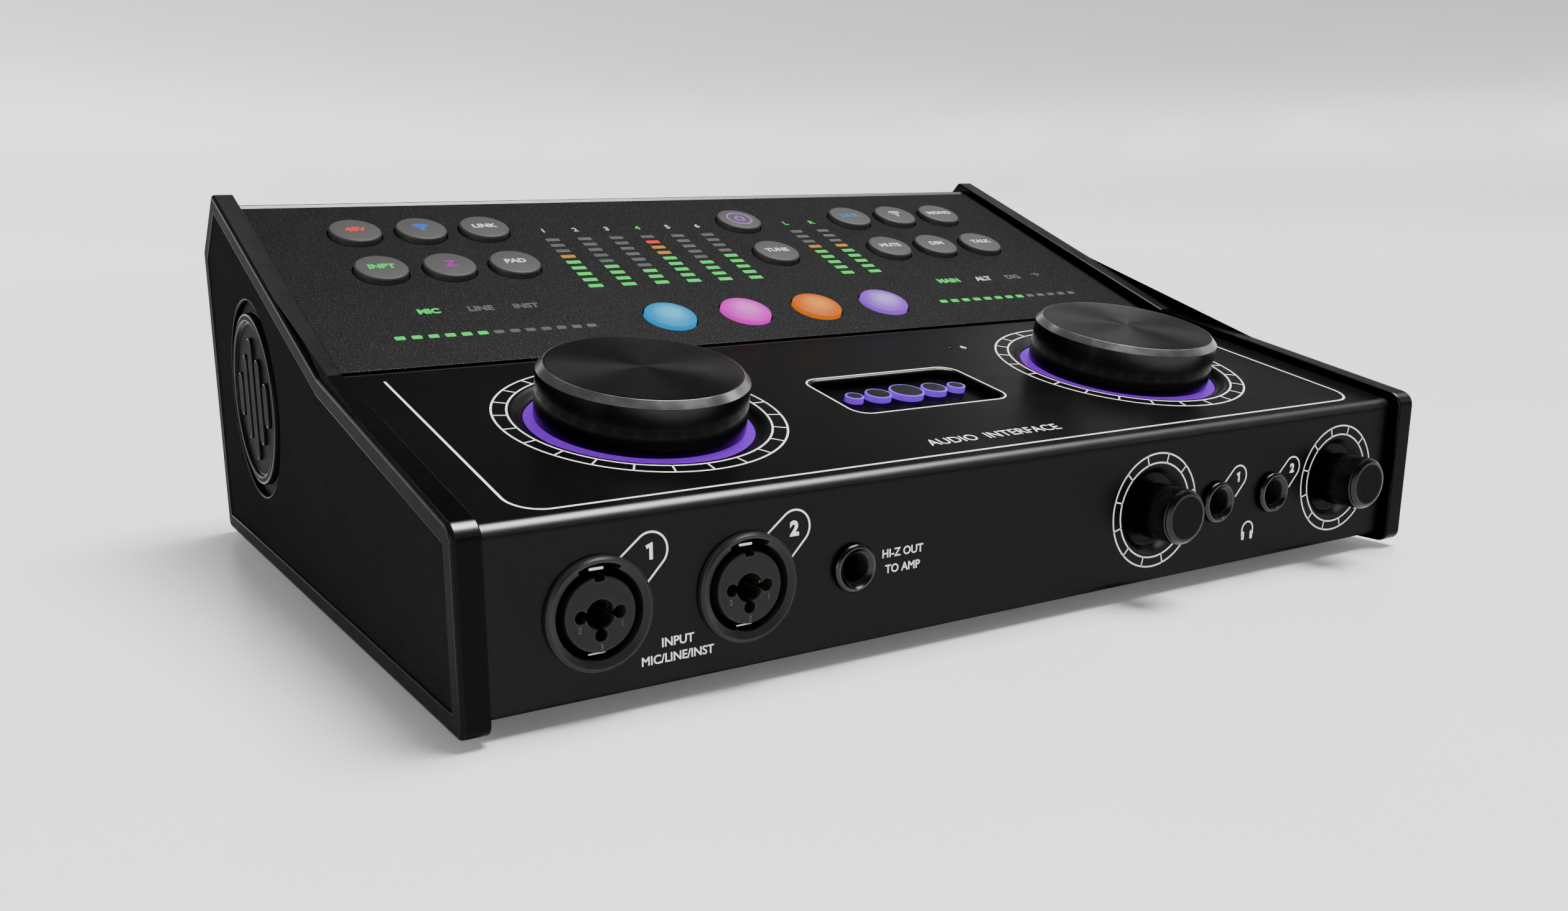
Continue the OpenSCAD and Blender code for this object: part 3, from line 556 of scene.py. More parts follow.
CORE_MARK = finish("core_mark", (0.036, 0.035, 0.034), 0.4, grain=0.05, mottle=0.05)
DARK = finish("socket_dark", (0.003, 0.003, 0.003), 0.7, specular=0.1, grain=0.1)
GILT = finish("gilt_contact", (0.95, 0.62, 0.22), 0.22, metallic=1.0, grain=0.05, mottle=0.05)
KEY = finish("grey_key", (0.027, 0.0256, 0.0246), 0.50, specular=0.2, grain=0.16, grain_scale=2600,
    mottle=0.03, mottle_scale=160, rough_swing=0.02)


def lamp(name, emission, glow):
    """A lit window or legend."""
    return finish(name, tuple(c * 0.1 for c in emission), 0.5, specular=0.04, emission=emission,
        glow=glow, mottle=0.04)


GREEN = lamp("lit_green", (0.0, 0.85, 0.09), 1.25)
AMBER = lamp("lit_amber", (0.80, 0.33, 0.01), 0.9)
RED = lamp("lit_red", (1.0, 0.035, 0.02), 1.25)
BLUE = lamp("lit_blue", (0.0, 0.16, 1.0), 1.3)
VIOLET = lamp("lit_violet", (0.42, 0.16, 0.85), 1.0)
PLUM = lamp("lit_plum", (0.46, 0.0, 0.46), 1.0)
SKY = lamp("lit_sky", (0.03, 0.28, 0.55), 0.9)
PALE = lamp("lit_white", (0.70, 0.74, 0.80), 1.1)
DULL = finish("unlit_window", (0.036, 0.036, 0.038), 0.45, specular=0.2, grain=0.08, mottle=0.05)
LEGEND = finish("pale_legend", (0.42, 0.41, 0.40), 0.5, grain=0.05, mottle=0.04)

# ---- case

SHEET_T = 2.0
BEND_R = 3.5
LIP_FRONT = PANEL_V[0] - 0.15
PANEL_T = 2.0
FOLD_START, FOLD_V, FOLD_H, GROOVE_H = 6.8, -2.2, 0.73, -0.9
DISH_R = 31.8
RING_R = 28.5
DISH_DEPTH = 1.6
VOLUMES = [middle(f"headphone_knob_{n}", front) for n in (1, 2)]
HEADPHONES = [middle(f"headphone_jack_{n}", front) for n in (1, 2)]
AMP_OUT = middle("amp_out_jack", front)
COMBOS = [middle(f"combo_shell_{n}", front) for n in (1, 2)]
COMBO_HOLE_R, JACK_HOLE_R, FIVE_PIN_HOLE_R = 11.3, 4.6, 8.6
COMBO_SHELL_W = 20  # least width that tells a combo shell from its core
VOLUME_DISH_R = 12.3
VOLUME_FLOOR_R = 8.6
VOLUME_DEPTH = 2.6
WELL = middle("deck_emblem", deck)
WELL_W, WELL_L, WELL_R = 49.4, 25.2, 4.0
MIC_HOLE = (38.9, 76.5)
LOCK_SLOT = (137.0, 20.0, 7.0, 3.0)  # x, z, width and height on the rear panel


def on_section(place, v, h):
    """(y, z) of a point v along a sloping place and h above it, from the case's corner."""
    p = place.base @ (Vector((0, v, h)) * MM)
    return (p.y - FRONT_Y) / MM, (p.z - BASE_Z) / MM


def dish_profile(r_out, r_in, depth, below):
    """Profile of a cutter with a smooth pressed flank."""
    steps = [i / 14 for i in range(15)]
    flank = [(r_out + (r_in - r_out) * t, -depth * (1 - cos(pi * t)) / 2) for t in steps]
    return [(0, 3), (r_out + 1.5, 3), (r_out + 1.5, 0.02)] + flank + [(r_in, -below), (0, -below)]


def cutter(matrix, draw):
    """A loose solid drawn by a function, to cut with."""
    bm = bmesh.new()
    draw(bm)
    return loose_object("cutter", bm, matrix)


def hole_cutter(matrix, r, depth=8.0, soft=0.0):
    """A round cutter with a soft mouth."""
    mouth = [(r, 0)] if not soft else [(r + soft * (1 - sin(radians(a))),
        -soft * (1 - cos(radians(a)))) for a in range(0, 91, 18)]
    top = [(0, 3), (r + soft, 3)]
    return cutter(matrix, lambda bm: lathe(bm, top + mouth + [(r, -depth), (0, -depth)], steps=64))


def make_cover():
    """Bent sheet that is the front panel, the deck and the lip under the control panel."""
    centre_z = FRONT_H - BEND_R * tan((pi / 2 - DECK_TILT) / 2)
    top = 90 + degrees(DECK_TILT)
    tongue = SLOPE_LEN - 5.6
    outer = arc(BEND_R, centre_z, BEND_R, 180, top, 14)
    inner = arc(BEND_R, centre_z, BEND_R - SHEET_T, top, 180, 14)
    lip = [on_section(deck, DECK_LEN - FOLD_START, 0)] + [on_section(slope, v, h)
        for v, h in ((FOLD_V - 0.35, FOLD_H - 0.06), (FOLD_V - 0.1, FOLD_H - 0.12),
        (FOLD_V, FOLD_H - 0.35), (FOLD_V, GROOVE_H), (LIP_FRONT, GROOVE_H), (LIP_FRONT, -PANEL_T),
        (tongue, -PANEL_T), (tongue, -PANEL_T - SHEET_T), (-0.8, -PANEL_T - SHEET_T))]
    under = [on_section(deck, DECK_LEN - 5.5, -SHEET_T)]
    fold = arc(SHEET_T + 1.5, 1.5 + 1.5, 1.5, 180, 270, 6)
    foot = [(14, 1.5), (14, 0.02)] + arc(1.8, 1.82, 1.8, 270, 180, 6)
    bm = bmesh.new()
    prism(bm, outer + lip + under + inner + fold + foot, -PANEL_HALF_W, PANEL_HALF_W)
    cover = loose_object("cover_sheet", bm, whole.at())
    cutters = []
    for s in (-1, 1):
        profile = dish_profile(DISH_R, RING_R + 0.1, DISH_DEPTH, 6)
        place = deck.at(s * KNOB_X, KNOB_V)
        cutters.append(cutter(place, lambda bm: lathe(bm, profile, steps=160)))

    def well(bm):
        edge = rounded_rect(WELL_W, WELL_L, WELL_R)
        slab(bm, edge, [(-1.2, 3), (-1.2, 0.02), (-0.7, -0.05), (-0.3, -0.25), (-0.07, -0.6),
            (0, -1.1), (0, -6)])

    cutters.append(cutter(deck.at(*WELL), well))
    cutters.append(hole_cutter(deck.at(*MIC_HOLE), 0.6, 5, 0.15))
    for x, z in VOLUMES:
        profile = dish_profile(VOLUME_DISH_R, VOLUME_FLOOR_R, VOLUME_DEPTH, VOLUME_DEPTH + 5)
        cutters.append(cutter(front.at(x, z), lambda bm: lathe(bm, profile, steps=96)))
    for x, z in COMBOS:
        cutters.append(hole_cutter(front.at(x, z), COMBO_HOLE_R, 5))
    for x, z in (AMP_OUT, *HEADPHONES):
        cutters.append(hole_cutter(front.at(x, z), JACK_HOLE_R, 5))
    window_v, side = 8.75, 8
    slot_w, slot_l = 2 * (PANEL_HALF_W - side), tongue - side - window_v
    middle_v = window_v + slot_l / 2
    window = rounded_rect(slot_w, slot_l, 2)
    cutters.append(cutter(slope.at(0, middle_v, -3.5),
        lambda bm: slab(bm, window, [(0, -2), (0, 2)])))
    cut(cover, cutters)
    piece(cover, [CHASSIS], ["top_cover"], angle=20)
    # Pressed cups behind the volume knobs
    bm = bmesh.new()
    for x, z in VOLUMES:
        lathe(bm, [(3.6, -VOLUME_DEPTH), (VOLUME_FLOOR_R + 0.05, -VOLUME_DEPTH),
            (VOLUME_FLOOR_R + 1.4, -1.9), (VOLUME_FLOOR_R + 1.4, -3.9), (3.6, -3.9),
            (3.6, -VOLUME_DEPTH)], steps=72, cx=x, cy=z)
    piece(loose_object("volume_cups", bm, front.at()), [CHASSIS])


def make_rear():
    """Rear panel: upright, slanted top and a rounded bead that holds the control panel."""
    t = 1.5
    top_edge = on_section(slope, SLOPE_LEN, 0)
    upright_top = (CASE_D, 86.0)
    bead = [on_section(slope, SLOPE_LEN - 3.2, h) for h in (-t, -0.95)]
    bead += [on_section(slope, SLOPE_LEN - 1.75, -0.06), on_section(slope, SLOPE_LEN - 1.45, 0)]
    outer = rounded([bead[-1], top_edge, upright_top, (CASE_D, 0.0)], [0, 2.2, 2.0, 0], 8, False)
    inner = [(CASE_D - t, 0.0), (CASE_D - t, t), (CASE_D - 14, t), (CASE_D - 14, 2 * t),
        (CASE_D - t, 2 * t), (CASE_D - t, 84.9), (top_edge[0] - 0.2, top_edge[1] - 2.6),
        on_section(slope, SLOPE_LEN - 2.6, -t)]
    bm = bmesh.new()
    prism(bm, bead[:3] + outer + inner, -PANEL_HALF_W, PANEL_HALF_W)
    panel = loose_object("rear_sheet", bm, whole.at())
    cutters = []
    for x, z, r in rear_round_places():
        cutters.append(hole_cutter(rear.at(x, z), r, 3.5))
    for x, z, w, h in rear_square_places():
        port = rounded_rect(w, h, 0.6, 4)
        cutters.append(cutter(rear.at(x, z), lambda bm: slab(bm, port, [(0, -3.5), (0, 3)])))
    cut(panel, cutters)
    piece(panel, [CHASSIS], ["rear_panel"], angle=24)


def parts_of(node):
    """Boxes of a node's separate solids, each as (lowest corner, highest corner) in metres."""
    mesh = NODES[node].data
    owner = list(range(len(mesh.vertices)))

    def root(i):
        while owner[i] != i:
            owner[i] = owner[owner[i]]
            i = owner[i]
        return i

    seen = {}
    for v in mesh.vertices:
        key = tuple(round(c, 6) for c in v.co)
        owner[root(v.index)] = root(seen.setdefault(key, v.index))
    for edge in mesh.edges:
        owner[root(edge.vertices[0])] = root(edge.vertices[1])
    groups = {}
    for v in mesh.vertices:
        groups.setdefault(root(v.index), []).append(v.co)
    return [(Vector([min(c[k] for c in group) for k in range(3)]),
        Vector([max(c[k] for c in group) for k in range(3)])) for group in groups.values()]


def rear_middles(node, least=4):
    """Middles of a node's solids at least so wide on the rear panel, in its millimetres."""
    return [tuple(rear.local((low + high) / 2)[:2])
        for low, high in parts_of(node) if (high - low).x > least * MM]


def rear_round_places():
    """Round openings in the rear panel: (x, z, radius)."""
    kinds = (("rear_combo_sockets", COMBO_SHELL_W, COMBO_HOLE_R), ("line_jacks", 4, JACK_HOLE_R),
        ("midi_sockets", 4, FIVE_PIN_HOLE_R))
    return [(*p, r) for node, least, r in kinds for p in rear_middles(node, least)]


def rear_square_places():
    """Square openings in the rear panel: (x, z, width, height)."""
    optical = [(*p, 10.2, 10.2) for p in rear_middles("optical_sockets")]
    single = (("usb_socket", 9.4, 3.6), ("dc_inlet", 9.2, 11.2), ("power_switch", 13.2, 19.2))
    return optical + [(*middle(node, rear), w, h) for node, w, h in single] + [LOCK_SLOT]


# ---- cheeks

CHEEK_T = CASE_HALF_W - PANEL_HALF_W
CHEEK_RIM = 5.0
CHEEK_RISE, KINK_RISE = 2.3, 3.5
FIELD_DEPTH = 0.8
CHEEK_REAR_TOP = 87.6
BADGE_R = 28.5
BADGE_SEAT = 2.0


def cheek_corners():
    """Sharp corners of the side outline in (y, z) from the case's corner, and their radii."""
    low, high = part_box("right_cheek")
    y0, z0 = (low.y - FRONT_Y) / MM, (low.z - BASE_Z) / MM
    y1 = (high.y - FRONT_Y) / MM
    crest = on_section(deck, y0 / cos(DECK_TILT), CHEEK_RISE)
    p, q = Vector(on_section(deck, 0, CHEEK_RISE)), Vector(on_section(slope, 0, KINK_RISE))
    u = Vector((cos(DECK_TILT), sin(DECK_TILT)))
    w = Vector((cos(SLOPE_TILT), sin(SLOPE_TILT)))
    dip = p + u * ((q - p).cross(w) / u.cross(w))
    top = on_section(slope, SLOPE_LEN + 2.6, CHEEK_RISE)
    corners = [(y0, z0), (y1, z0), (y1, CHEEK_REAR_TOP), top, tuple(dip), (y0, crest[1])]
    return corners, [3, 3, 2.5, 1.6, -4, 4.3]


def cheek_ring(d):
    """The side outline moved inwards by d, with round corners. A hollow corner opens."""
    points, radii = cheek_corners()
    grown = [max(0.5, abs(r) + (d if r < 0 else -d)) for r in radii]
    return rounded(inset(points, d), grown, 6)


def side_place(s):
    """A cheek's frame: x towards the rear, y up, and out of the case."""
    turn = Matrix(((0, 0, s, 0), (1, 0, 0, 0), (0, 1, 0, 0), (0, 0, 0, 1)))
    return Matrix.Translation((s * PANEL_HALF_W * MM, FRONT_Y, BASE_Z)) @ turn


def badge_middle():
    """The badge's middle in a cheek's frame."""
    low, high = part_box("side_badges")
    return ((low.y + high.y) / 2 - FRONT_Y) / MM, ((low.z + high.z) / 2 - BASE_Z) / MM


def make_cheek(s, name, node):
    """A moulded cheek: soft edges, a raised rim round a field, and a round pocket."""
    t, f, soft = CHEEK_T, CHEEK_T - FIELD_DEPTH, 1.1
    levels = [(0.5, 0), (0.15, 0.15), (0, 0.5), (0, t - soft)]
    levels += [(soft * (1 - cos(radians(a))), t - soft + soft * sin(radians(a)))
        for a in range(15, 91, 15)]
    levels += [(CHEEK_RIM - 0.3, t), (CHEEK_RIM - 0.1, t - 0.06), (CHEEK_RIM, t - 0.25),
        (CHEEK_RIM + 0.08, f + 0.2), (CHEEK_RIM + 0.25, f + 0.04), (CHEEK_RIM + 0.5, f)]
    rings = [[(x, y, z) for x, y in cheek_ring(d)] for d, z in levels]
    bm = bmesh.new()
    loft(bm, rings, [0, 0, 0] + [2] * 6 + [3, 2, 2, 1, 1, 1])
    wide = [face for face in bm.faces if len(face.verts) > 4]
    bmesh.ops.triangulate(bm, faces=wide, ngon_method="EAR_CLIP")
    cheek = loose_object(name, bm, side_place(s))
    by, bz = badge_middle()
    pocket = [(0, 2), (BADGE_R + 1.0, 2), (BADGE_R + 1.0, 0.02), (BADGE_R + 0.65, 0),
        (BADGE_R + 0.35, -0.12), (BADGE_R + 0.2, -0.4), (BADGE_R + 0.2, -BADGE_SEAT),
        (0, -BADGE_SEAT)]
    matrix = side_place(s) @ Matrix.Translation(Vector((by, bz, f)) * MM)
    if s < 0:
        matrix = matrix @ Matrix.Scale(1, 4)
    cut(cheek, [cutter(matrix, lambda bm: lathe(bm, pocket, steps=128))])
    piece(cheek, [CHEEK, FIELD, CHEEK_EDGE, CHEEK_RIM_FLAT], [node], angle=22)


def make_badges():
    """Round badges with a rim and five soft upright bars, a plain level sign."""
    by, bz = badge_middle()
    bm = bmesh.new()
    for s in (-1, 1):
        turn = side_place(s) @ Matrix.Translation(Vector((by, bz, CHEEK_T - FIELD_DEPTH)) * MM)
        part = bmesh.new()
        moat = BADGE_R - 3.4
        lathe(part, [(0, -BADGE_SEAT + 0.05), (BADGE_R, -BADGE_SEAT + 0.05), (BADGE_R, -1.75),
            (moat + 0.25, -1.75), (moat + 0.05, -1.6), (moat, -0.1), (moat - 0.25, 0.35),
            (moat - 0.8, 0.55), (moat - 2.0, 0.6), (moat - 2.3, 0.5), (moat - 2.5, 0.2),
            (moat - 2.7, -0.35), (moat - 3.1, -0.5), (0, -0.4)], steps=128)
        for i in range(-2, 3):
            half = (18, 12.5, 6.5)[abs(i)]
            slab(part, shifted(rounded_rect(4.6, 2 * half, 2.29, 8), i * 7.6, 0),
                [(0, -0.9), (0, 0.2), (0.15, 0.45), (0.5, 0.6)])
        bmesh.ops.recalc_face_normals(part, faces=part.faces)
        for face in part.faces:
            face.material_index = int(0.15 < abs(face.normal.z) < 0.97)
        bmesh.ops.transform(part, matrix=turn, verts=part.verts)
        held = bpy.data.meshes.new("badge_side")
        part.to_mesh(held)
        part.free()
        bm.from_mesh(held)
        bpy.data.meshes.remove(held)
    piece(loose_object("cheek_badges", bm, Matrix.Identity(4)), [BADGE, BADGE_EDGE],
        ["side_badges"], angle=28)


# ---- control panel

KEY_R, KEY_H = 7.9, 2.0
COLOUR_KEY_R, COLOUR_KEY_H = 8.0, 1.9
KEY_GAP = 0.3
KEY_NODES = sorted(n for n in NODES if n.startswith("key_") and n != "key_switches")
COLOUR_NODES = sorted(n for n in NODES if n.startswith("colour_key_"))


def make_control_panel():
    """The speckled plate with its countersunk key holes."""
    low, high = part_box("control_panel")
    w, v0, v1 = (high.x - low.x) / MM, *PANEL_V
    bm = bmesh.new()
    outline = [(-w / 2, v0), (w / 2, v0), (w / 2, v1), (-w / 2, v1)]
    slab(bm, outline, [(0, -PANEL_T), (0, -0.25), (0.07, -0.07), (0.25, 0)])
    plate = loose_object("control_plate", bm, slope.at())
    cutters = []
    for node in (*KEY_NODES, *COLOUR_NODES):
        r = (COLOUR_KEY_R if node in COLOUR_NODES else KEY_R) + KEY_GAP
        cutters.append(hole_cutter(slope.at(*middle(node, slope)), r, 3, 0.3))
    cut(plate, cutters)
    piece(plate, [PANEL], ["control_panel"], angle=24)


def key_crown(r, h, edge, crown):
    """Height of a key's top at (x, y) from its middle."""
    return lambda x, y: h - crown * min(1.0, hypot(x, y) / (r - edge)) ** 2


def draw_key(bm, r, h, edge, crown):
    """A round cap with a soft edge and a low crown, its skirt, keeper and stem."""
    profile = [(0, -7), (2.5, -7), (2.5, -3.5), (r + 1.15, -3.5), (r + 1.15, -2.3), (r, -2.3),
        (r, h - crown - edge)]
    profile += [(r - edge + edge * cos(pi / 16 * k), h - crown - edge + edge * sin(pi / 16 * k))
        for k in range(1, 9)]
    count = 14
    profile += [((r - edge) * (1 - k / count), h - crown * (1 - k / count) ** 2)
        for k in range(1, count + 1)]
    lathe(bm, profile, steps=96)


def draw_mark(bm, mark, crown, mat):
    """A drawn sign for a key, as strokes on its crown."""
    z = crown(0, 0) - 0.05
    if mark == "waves":
        for r in (1.2, 2.4, 3.6):
            stroke(bm, arc(0, -1.5, r, 45, 135, 10), 0.55, z, z + 0.07, mat)
        lathe(bm, [(0, z), (0.55, z), (0.55, z + 0.07), (0, z + 0.07)], mat, 20, 0, -1.7)
    elif mark == "ring":
        ring_plate(bm, 4.1, 4.75, z - 0.06, z + 0.02, mat, 48)
        stroke(bm, [(-1.9, -0.1), (0, 1.9), (1.9, -0.1)], 0.6, z, z + 0.07, mat)
        stroke(bm, [(-1.3, 0.3), (-1.3, -1.7), (1.3, -1.7), (1.3, 0.3)], 0.55, z, z + 0.07, mat)


# Legend of each grey key, its finish, and its height in millimetres
LEGENDS = {"key_phantom": ("48V", "RED", 2.5), "key_wireless_in": ("waves", "BLUE", 0),
    "key_link_in": ("LINK", "LEGEND", 2.3), "key_input": ("INPT", "GREEN", 2.4),
    "key_polarity": ("Z", "PLUM", 3.3), "key_pad": ("PAD", "LEGEND", 2.3),
    "key_home": ("ring", "VIOLET", 0), "key_tune": ("TUNE", "LEGEND", 2.2),
    "key_link_out": ("LINK", "SKY", 2.4), "key_wireless_out": ("waves", "LEGEND", 0),
    "key_mono": ("MONO", "LEGEND", 2.2), "key_mute": ("MUTE", "LEGEND", 2.2),
    "key_dim": ("DIM", "LEGEND", 2.2), "key_talk": ("TALK", "LEGEND", 2.2)}
LEGEND_FINISH = {"RED": RED, "BLUE": BLUE, "LEGEND": LEGEND, "GREEN": GREEN, "PLUM": PLUM,
    "VIOLET": VIOLET, "SKY": SKY}


def make_grey_keys():
    """The fourteen legend keys, each on its own body."""
    h, edge, crown = KEY_H, 0.7, 0.25
    rise = key_crown(KEY_R, h, edge, crown)
    for node in KEY_NODES:
        words, tint, height = LEGENDS[node]
        bm = bmesh.new()
        draw_key(bm, KEY_R, h, edge, crown)
        if height:
            lettering(bm, words, 0, 0, height * 1.2, 1, crown=rise, bold=0.04)
        else:
            draw_mark(bm, words, rise, 1)
        made = loose_object(node.replace("key_", "keycap_"), bm, slope.at(*middle(node, slope)))
        piece(made, [KEY, LEGEND_FINISH[tint]], [node], body=node, angle=30,
            flat_weight=False)


COLOURS = {"colour_key_1": ("key_cyan", (0.0, 0.26, 0.58), (0.10, 0.62, 0.95)),
    "colour_key_2": ("key_magenta", (0.70, 0.0, 0.58), (0.95, 0.22, 0.88)),
    "colour_key_3": ("key_orange", (0.66, 0.13, 0.0), (0.95, 0.38, 0.05)),
    "colour_key_4": ("key_violet", (0.26, 0.06, 0.66), (0.56, 0.40, 0.98))}


def glowing_key(name, rim, heart):
    """A frosted cap lit from below, brighter in its middle."""
    m = finish(name, tuple(c * 0.10 for c in rim), 0.42, specular=0.04, grain=0.04, mottle=0.03)
    where = add(m, "TexCoord").outputs["Object"]
    far = operate(m, "VectorMath", "LENGTH", {0: where}).outputs["Value"]
    near = spread(m, far, 1, 0, 0.0015, 0.0072, "SMOOTHSTEP")
    lit = {"Emission Color": mix(m, rim, heart, near), "Emission Strength": 1.15}
    fill(m, m.node_tree.nodes["Principled BSDF"], lit)
    return m


def make_colour_keys():
    """Four domed keys that glow."""
    for node in COLOUR_NODES:
        slot_name, rim, heart = COLOURS[node]
        bm = bmesh.new()
        draw_key(bm, COLOUR_KEY_R, COLOUR_KEY_H, 0.8, 0.8)
        made = loose_object(node.replace("colour_key", "colour_cap"), bm,
            slope.at(*middle(node, slope)))
        piece(made, [glowing_key(slot_name + "_glow", rim, heart)], [node], body=node,
            angle=34, flat_weight=False)


METERS = [  # x of a column, its label, the label's finish, segments from the top
    (-51.7, "1", 4, "...AGGGGG"), (-40.3, "2", 4, ".....GGGG"), (-28.8, "3", 4, "......GGG"),
    (-17.3, "4", 0, ".RAAGGGGG"), (-5.7, "5", 4, ".....GGGG"), (5.9, "6", 4, "....GGGGG"),
    (42.5, "L", 0, "...AGGGGG"), (53.8, "R", 0, "...AGGGGG"),
]
METER_TOP_V = 74.1
METER_PITCH = 4.13
LABEL_V = 81.3
BARS = [(-121.1, 4.725, "GGGGGG......."), (65.3, 4.785, "GGGGGGGG.....")]
BAR_V = 16.7
PANEL_WORDS = [("MIC", -108.1, 0), ("LINE", -92.7, 3), ("INST", -78.8, 3), ("MAIN", 78.4, 0),
    ("ALT", 93.8, 4), ("DIG", 107.5, 3)]
WORDS_V = 31.0


def make_meters():
    """Lit windows and legends on the control panel."""
    finishes = [GREEN, AMBER, RED, DULL, PALE]
    index = {"G": 0, "A": 1, "R": 2, ".": 3}
    bm = bmesh.new()

    def window(x, v, w, l, mat):
        outline = shifted(rounded_rect(w, l, 0.35, 3), x, v)
        slab(bm, outline, [(0, -0.03), (0, 0.04), (0.05, 0.07)], mat)

    for x, label, tint, column in METERS:
        for k, letter in enumerate(column):
            window(x, METER_TOP_V - k * METER_PITCH, 4.8, 2.0, index[letter])
        lettering(bm, label, x - 0.3, LABEL_V, 2.7, tint, bold=0.02)
    for x0, pitch, row in BARS:
        for k, letter in enumerate(row):
            window(x0 + k * pitch, BAR_V, 2.9, 1.9, index[letter])
    for words, x, tint in PANEL_WORDS:
        lettering(bm, words, x, WORDS_V, 3.0, tint, bold=0.05)
    for r in (0.9, 1.8, 2.7):
        stroke(bm, arc(119.2, WORDS_V - 1, r, 45, 135, 8), 0.4, -0.02, 0.03, 3)
    piece(loose_object("level_windows", bm, slope.at()), finishes, angle=30)


# ---- printed lines

INK = (-0.02, 0.025)
INK_LEVELS = [(0, z) for z in INK]
LINE_W = 0.5


def dial(bm, x, y, r_in, r_out, width, ticks, first):
    """Two printed circles joined by ticks."""
    for r in (r_in + width / 2, r_out - width / 2):
        ring_plate(bm, r - width / 2, r + width / 2, *INK, 0, 160, x, y)
    for k in range(ticks):
        ends = [polar(r, first + 360 * k / ticks, x, y) for r in (r_in, r_out)]
        stroke(bm, ends, width * 0.85, *INK)


def capsule(bm, start_left, start_right, top_r, tip, width):
    """A printed finger that leans up from a socket to its number."""
    a, b = Vector(start_left), Vector(start_right)
    centre = Vector(tip)
    out = (centre - (a + b) / 2).normalized()
    turn = degrees(atan2(out.y, out.x))
    points = [tuple(b)] + arc(centre.x, centre.y, top_r, turn - 90, turn + 90, 20) + [tuple(a)]
    stroke(bm, points, width, *INK)


def make_deck_print():
    """White lines on the deck: outline, dials and the frame round the well."""
    bm = bmesh.new()
    half, v0, v1, r = 133.16, 4.9, DECK_LEN - 7.5, 8.0
    line = [(-half, v1), (-half, v0), (half, v0), (half, v1)]
    stroke(bm, rounded(line, r, 12, closed=False), 0.62, *INK)
    for s in (-1, 1):
        dial(bm, s * KNOB_X, KNOB_V, 32.3, 36.55, LINE_W, 24, 0)
    around = rounded_rect(WELL_W + 2.6, WELL_L + 2.6, 5)
    stroke(bm, shifted(around, *WELL), 0.5, *INK, closed=True)
    lettering(bm, "AUDIO  INTERFACE", 0, 12.4, 3.6, 0, bold=0.0, width=43)
    # Small microphone sign beside its hole
    mx, mv = 43.7, 76.2
    cup = [(mx - 0.75, mv + 0.2), *arc(mx, mv, 0.75, 180, 360, 8)[1:-1], (mx + 0.75, mv + 0.2)]
    stroke(bm, cup, 0.25, *INK)
    slab(bm, shifted(rounded_rect(0.8, 1.7, 0.39, 5), mx, mv + 0.5), INK_LEVELS)
    stroke(bm, [(mx, mv - 0.75), (mx, mv - 1.4)], 0.25, *INK)
    piece(loose_object("deck_print", bm, deck.at()), [PRINT], angle=30)


def number(bm, n, x, z, height):
    """A socket's number: a one drawn as a stroke, or a two from the font."""
    if n == 1:
        half = height / 2
        width = 0.22 * height
        line = [(x - 0.27 * height, z + 0.55 * half), (x + 0.05 * height, z + half - width / 2),
            (x + 0.05 * height, z - half)]
        stroke(bm, line, width, *INK)
    else:
        lettering(bm, str(n), x, z, height, bold=0.05)


def make_front_print():
    """White lines and words on the front panel."""
    bm = bmesh.new()
    for x, z in VOLUMES:
        dial(bm, x, z, 12.55, 15.52, 0.42, 12, 15)
    for n, (x, z) in enumerate(HEADPHONES):
        tip = (x + 8.4, z + 6.0)
        capsule(bm, (x + 3.0, z + 5.0), (x + 7.6, z + 0.5), 3.1, tip, 0.42)
        number(bm, n + 1, x + 8.4, z + 5.9, 2.7)
    for n, (x, z) in enumerate(COMBOS):
        tip = (x + 12.45, z + 11.6)
        capsule(bm, (x + 5.0, z + 10.9), (x + 11.4, z + 4.6), 4.1, tip, 0.45)
        number(bm, n + 1, x + 12.45, z + 11.5, 3.6)
    middle_x = (COMBOS[0][0] + COMBOS[1][0]) / 2 + 0.6
    amp_x, amp_z = AMP_OUT[0] + 14.4, AMP_OUT[1]
    for words, x, z in (("INPUT", middle_x, 9.9), ("MIC/LINE/INST", middle_x, 6.4),
            ("HI-Z OUT", amp_x, amp_z + 1.9), ("TO AMP", amp_x, amp_z - 1.9)):
        lettering(bm, words, x, z, 2.05, bold=0.015)
    # Headphone sign
    hx, hz = 83.5, 9.0
    band = [(-2.2, -1.2), *arc(0, 0.4, 2.2, 180, 0, 16), (2.2, -1.2)]
    stroke(bm, shifted(band, hx, hz), 0.45, *INK)
    for s in (-1, 1):
        slab(bm, shifted(rounded_rect(1.0, 2.4, 0.4, 4), hx + s * 1.7, hz - 1.3), INK_LEVELS)
    piece(loose_object("front_print", bm, front.at()), [PRINT], angle=30)


# ---- lamps

EMBLEM_DOTS = [(-17.5, 2.6), (-9.6, 3.7), (0, 4.9), (9.6, 3.7), (17.5, 2.6)]


def make_emblem():
    """Five lit discs on the glossy plate that closes the well."""
    bm = bmesh.new()
    edge = rounded_rect(WELL_W + 5, WELL_L + 5, WELL_R)
    slab(bm, edge, [(0, -SHEET_T - 1.6), (0, -SHEET_T)])
    for x, r in EMBLEM_DOTS:
        lathe(bm, [(0, -SHEET_T - 0.02), (r, -SHEET_T - 0.02), (r, -0.5), (r - 0.12, -0.36),
            (r - 0.5, -0.32), (r * 0.5, -0.30), (0, -0.3)], [1, 1, 1, 1, 2, 2], 64, x, 0)
    piece(loose_object("well_emblem", bm, deck.at(*WELL)), [EMBLEM_PLATE, EMBLEM_LIT, EMBLEM_TOP],
        ["deck_emblem"], angle=30)


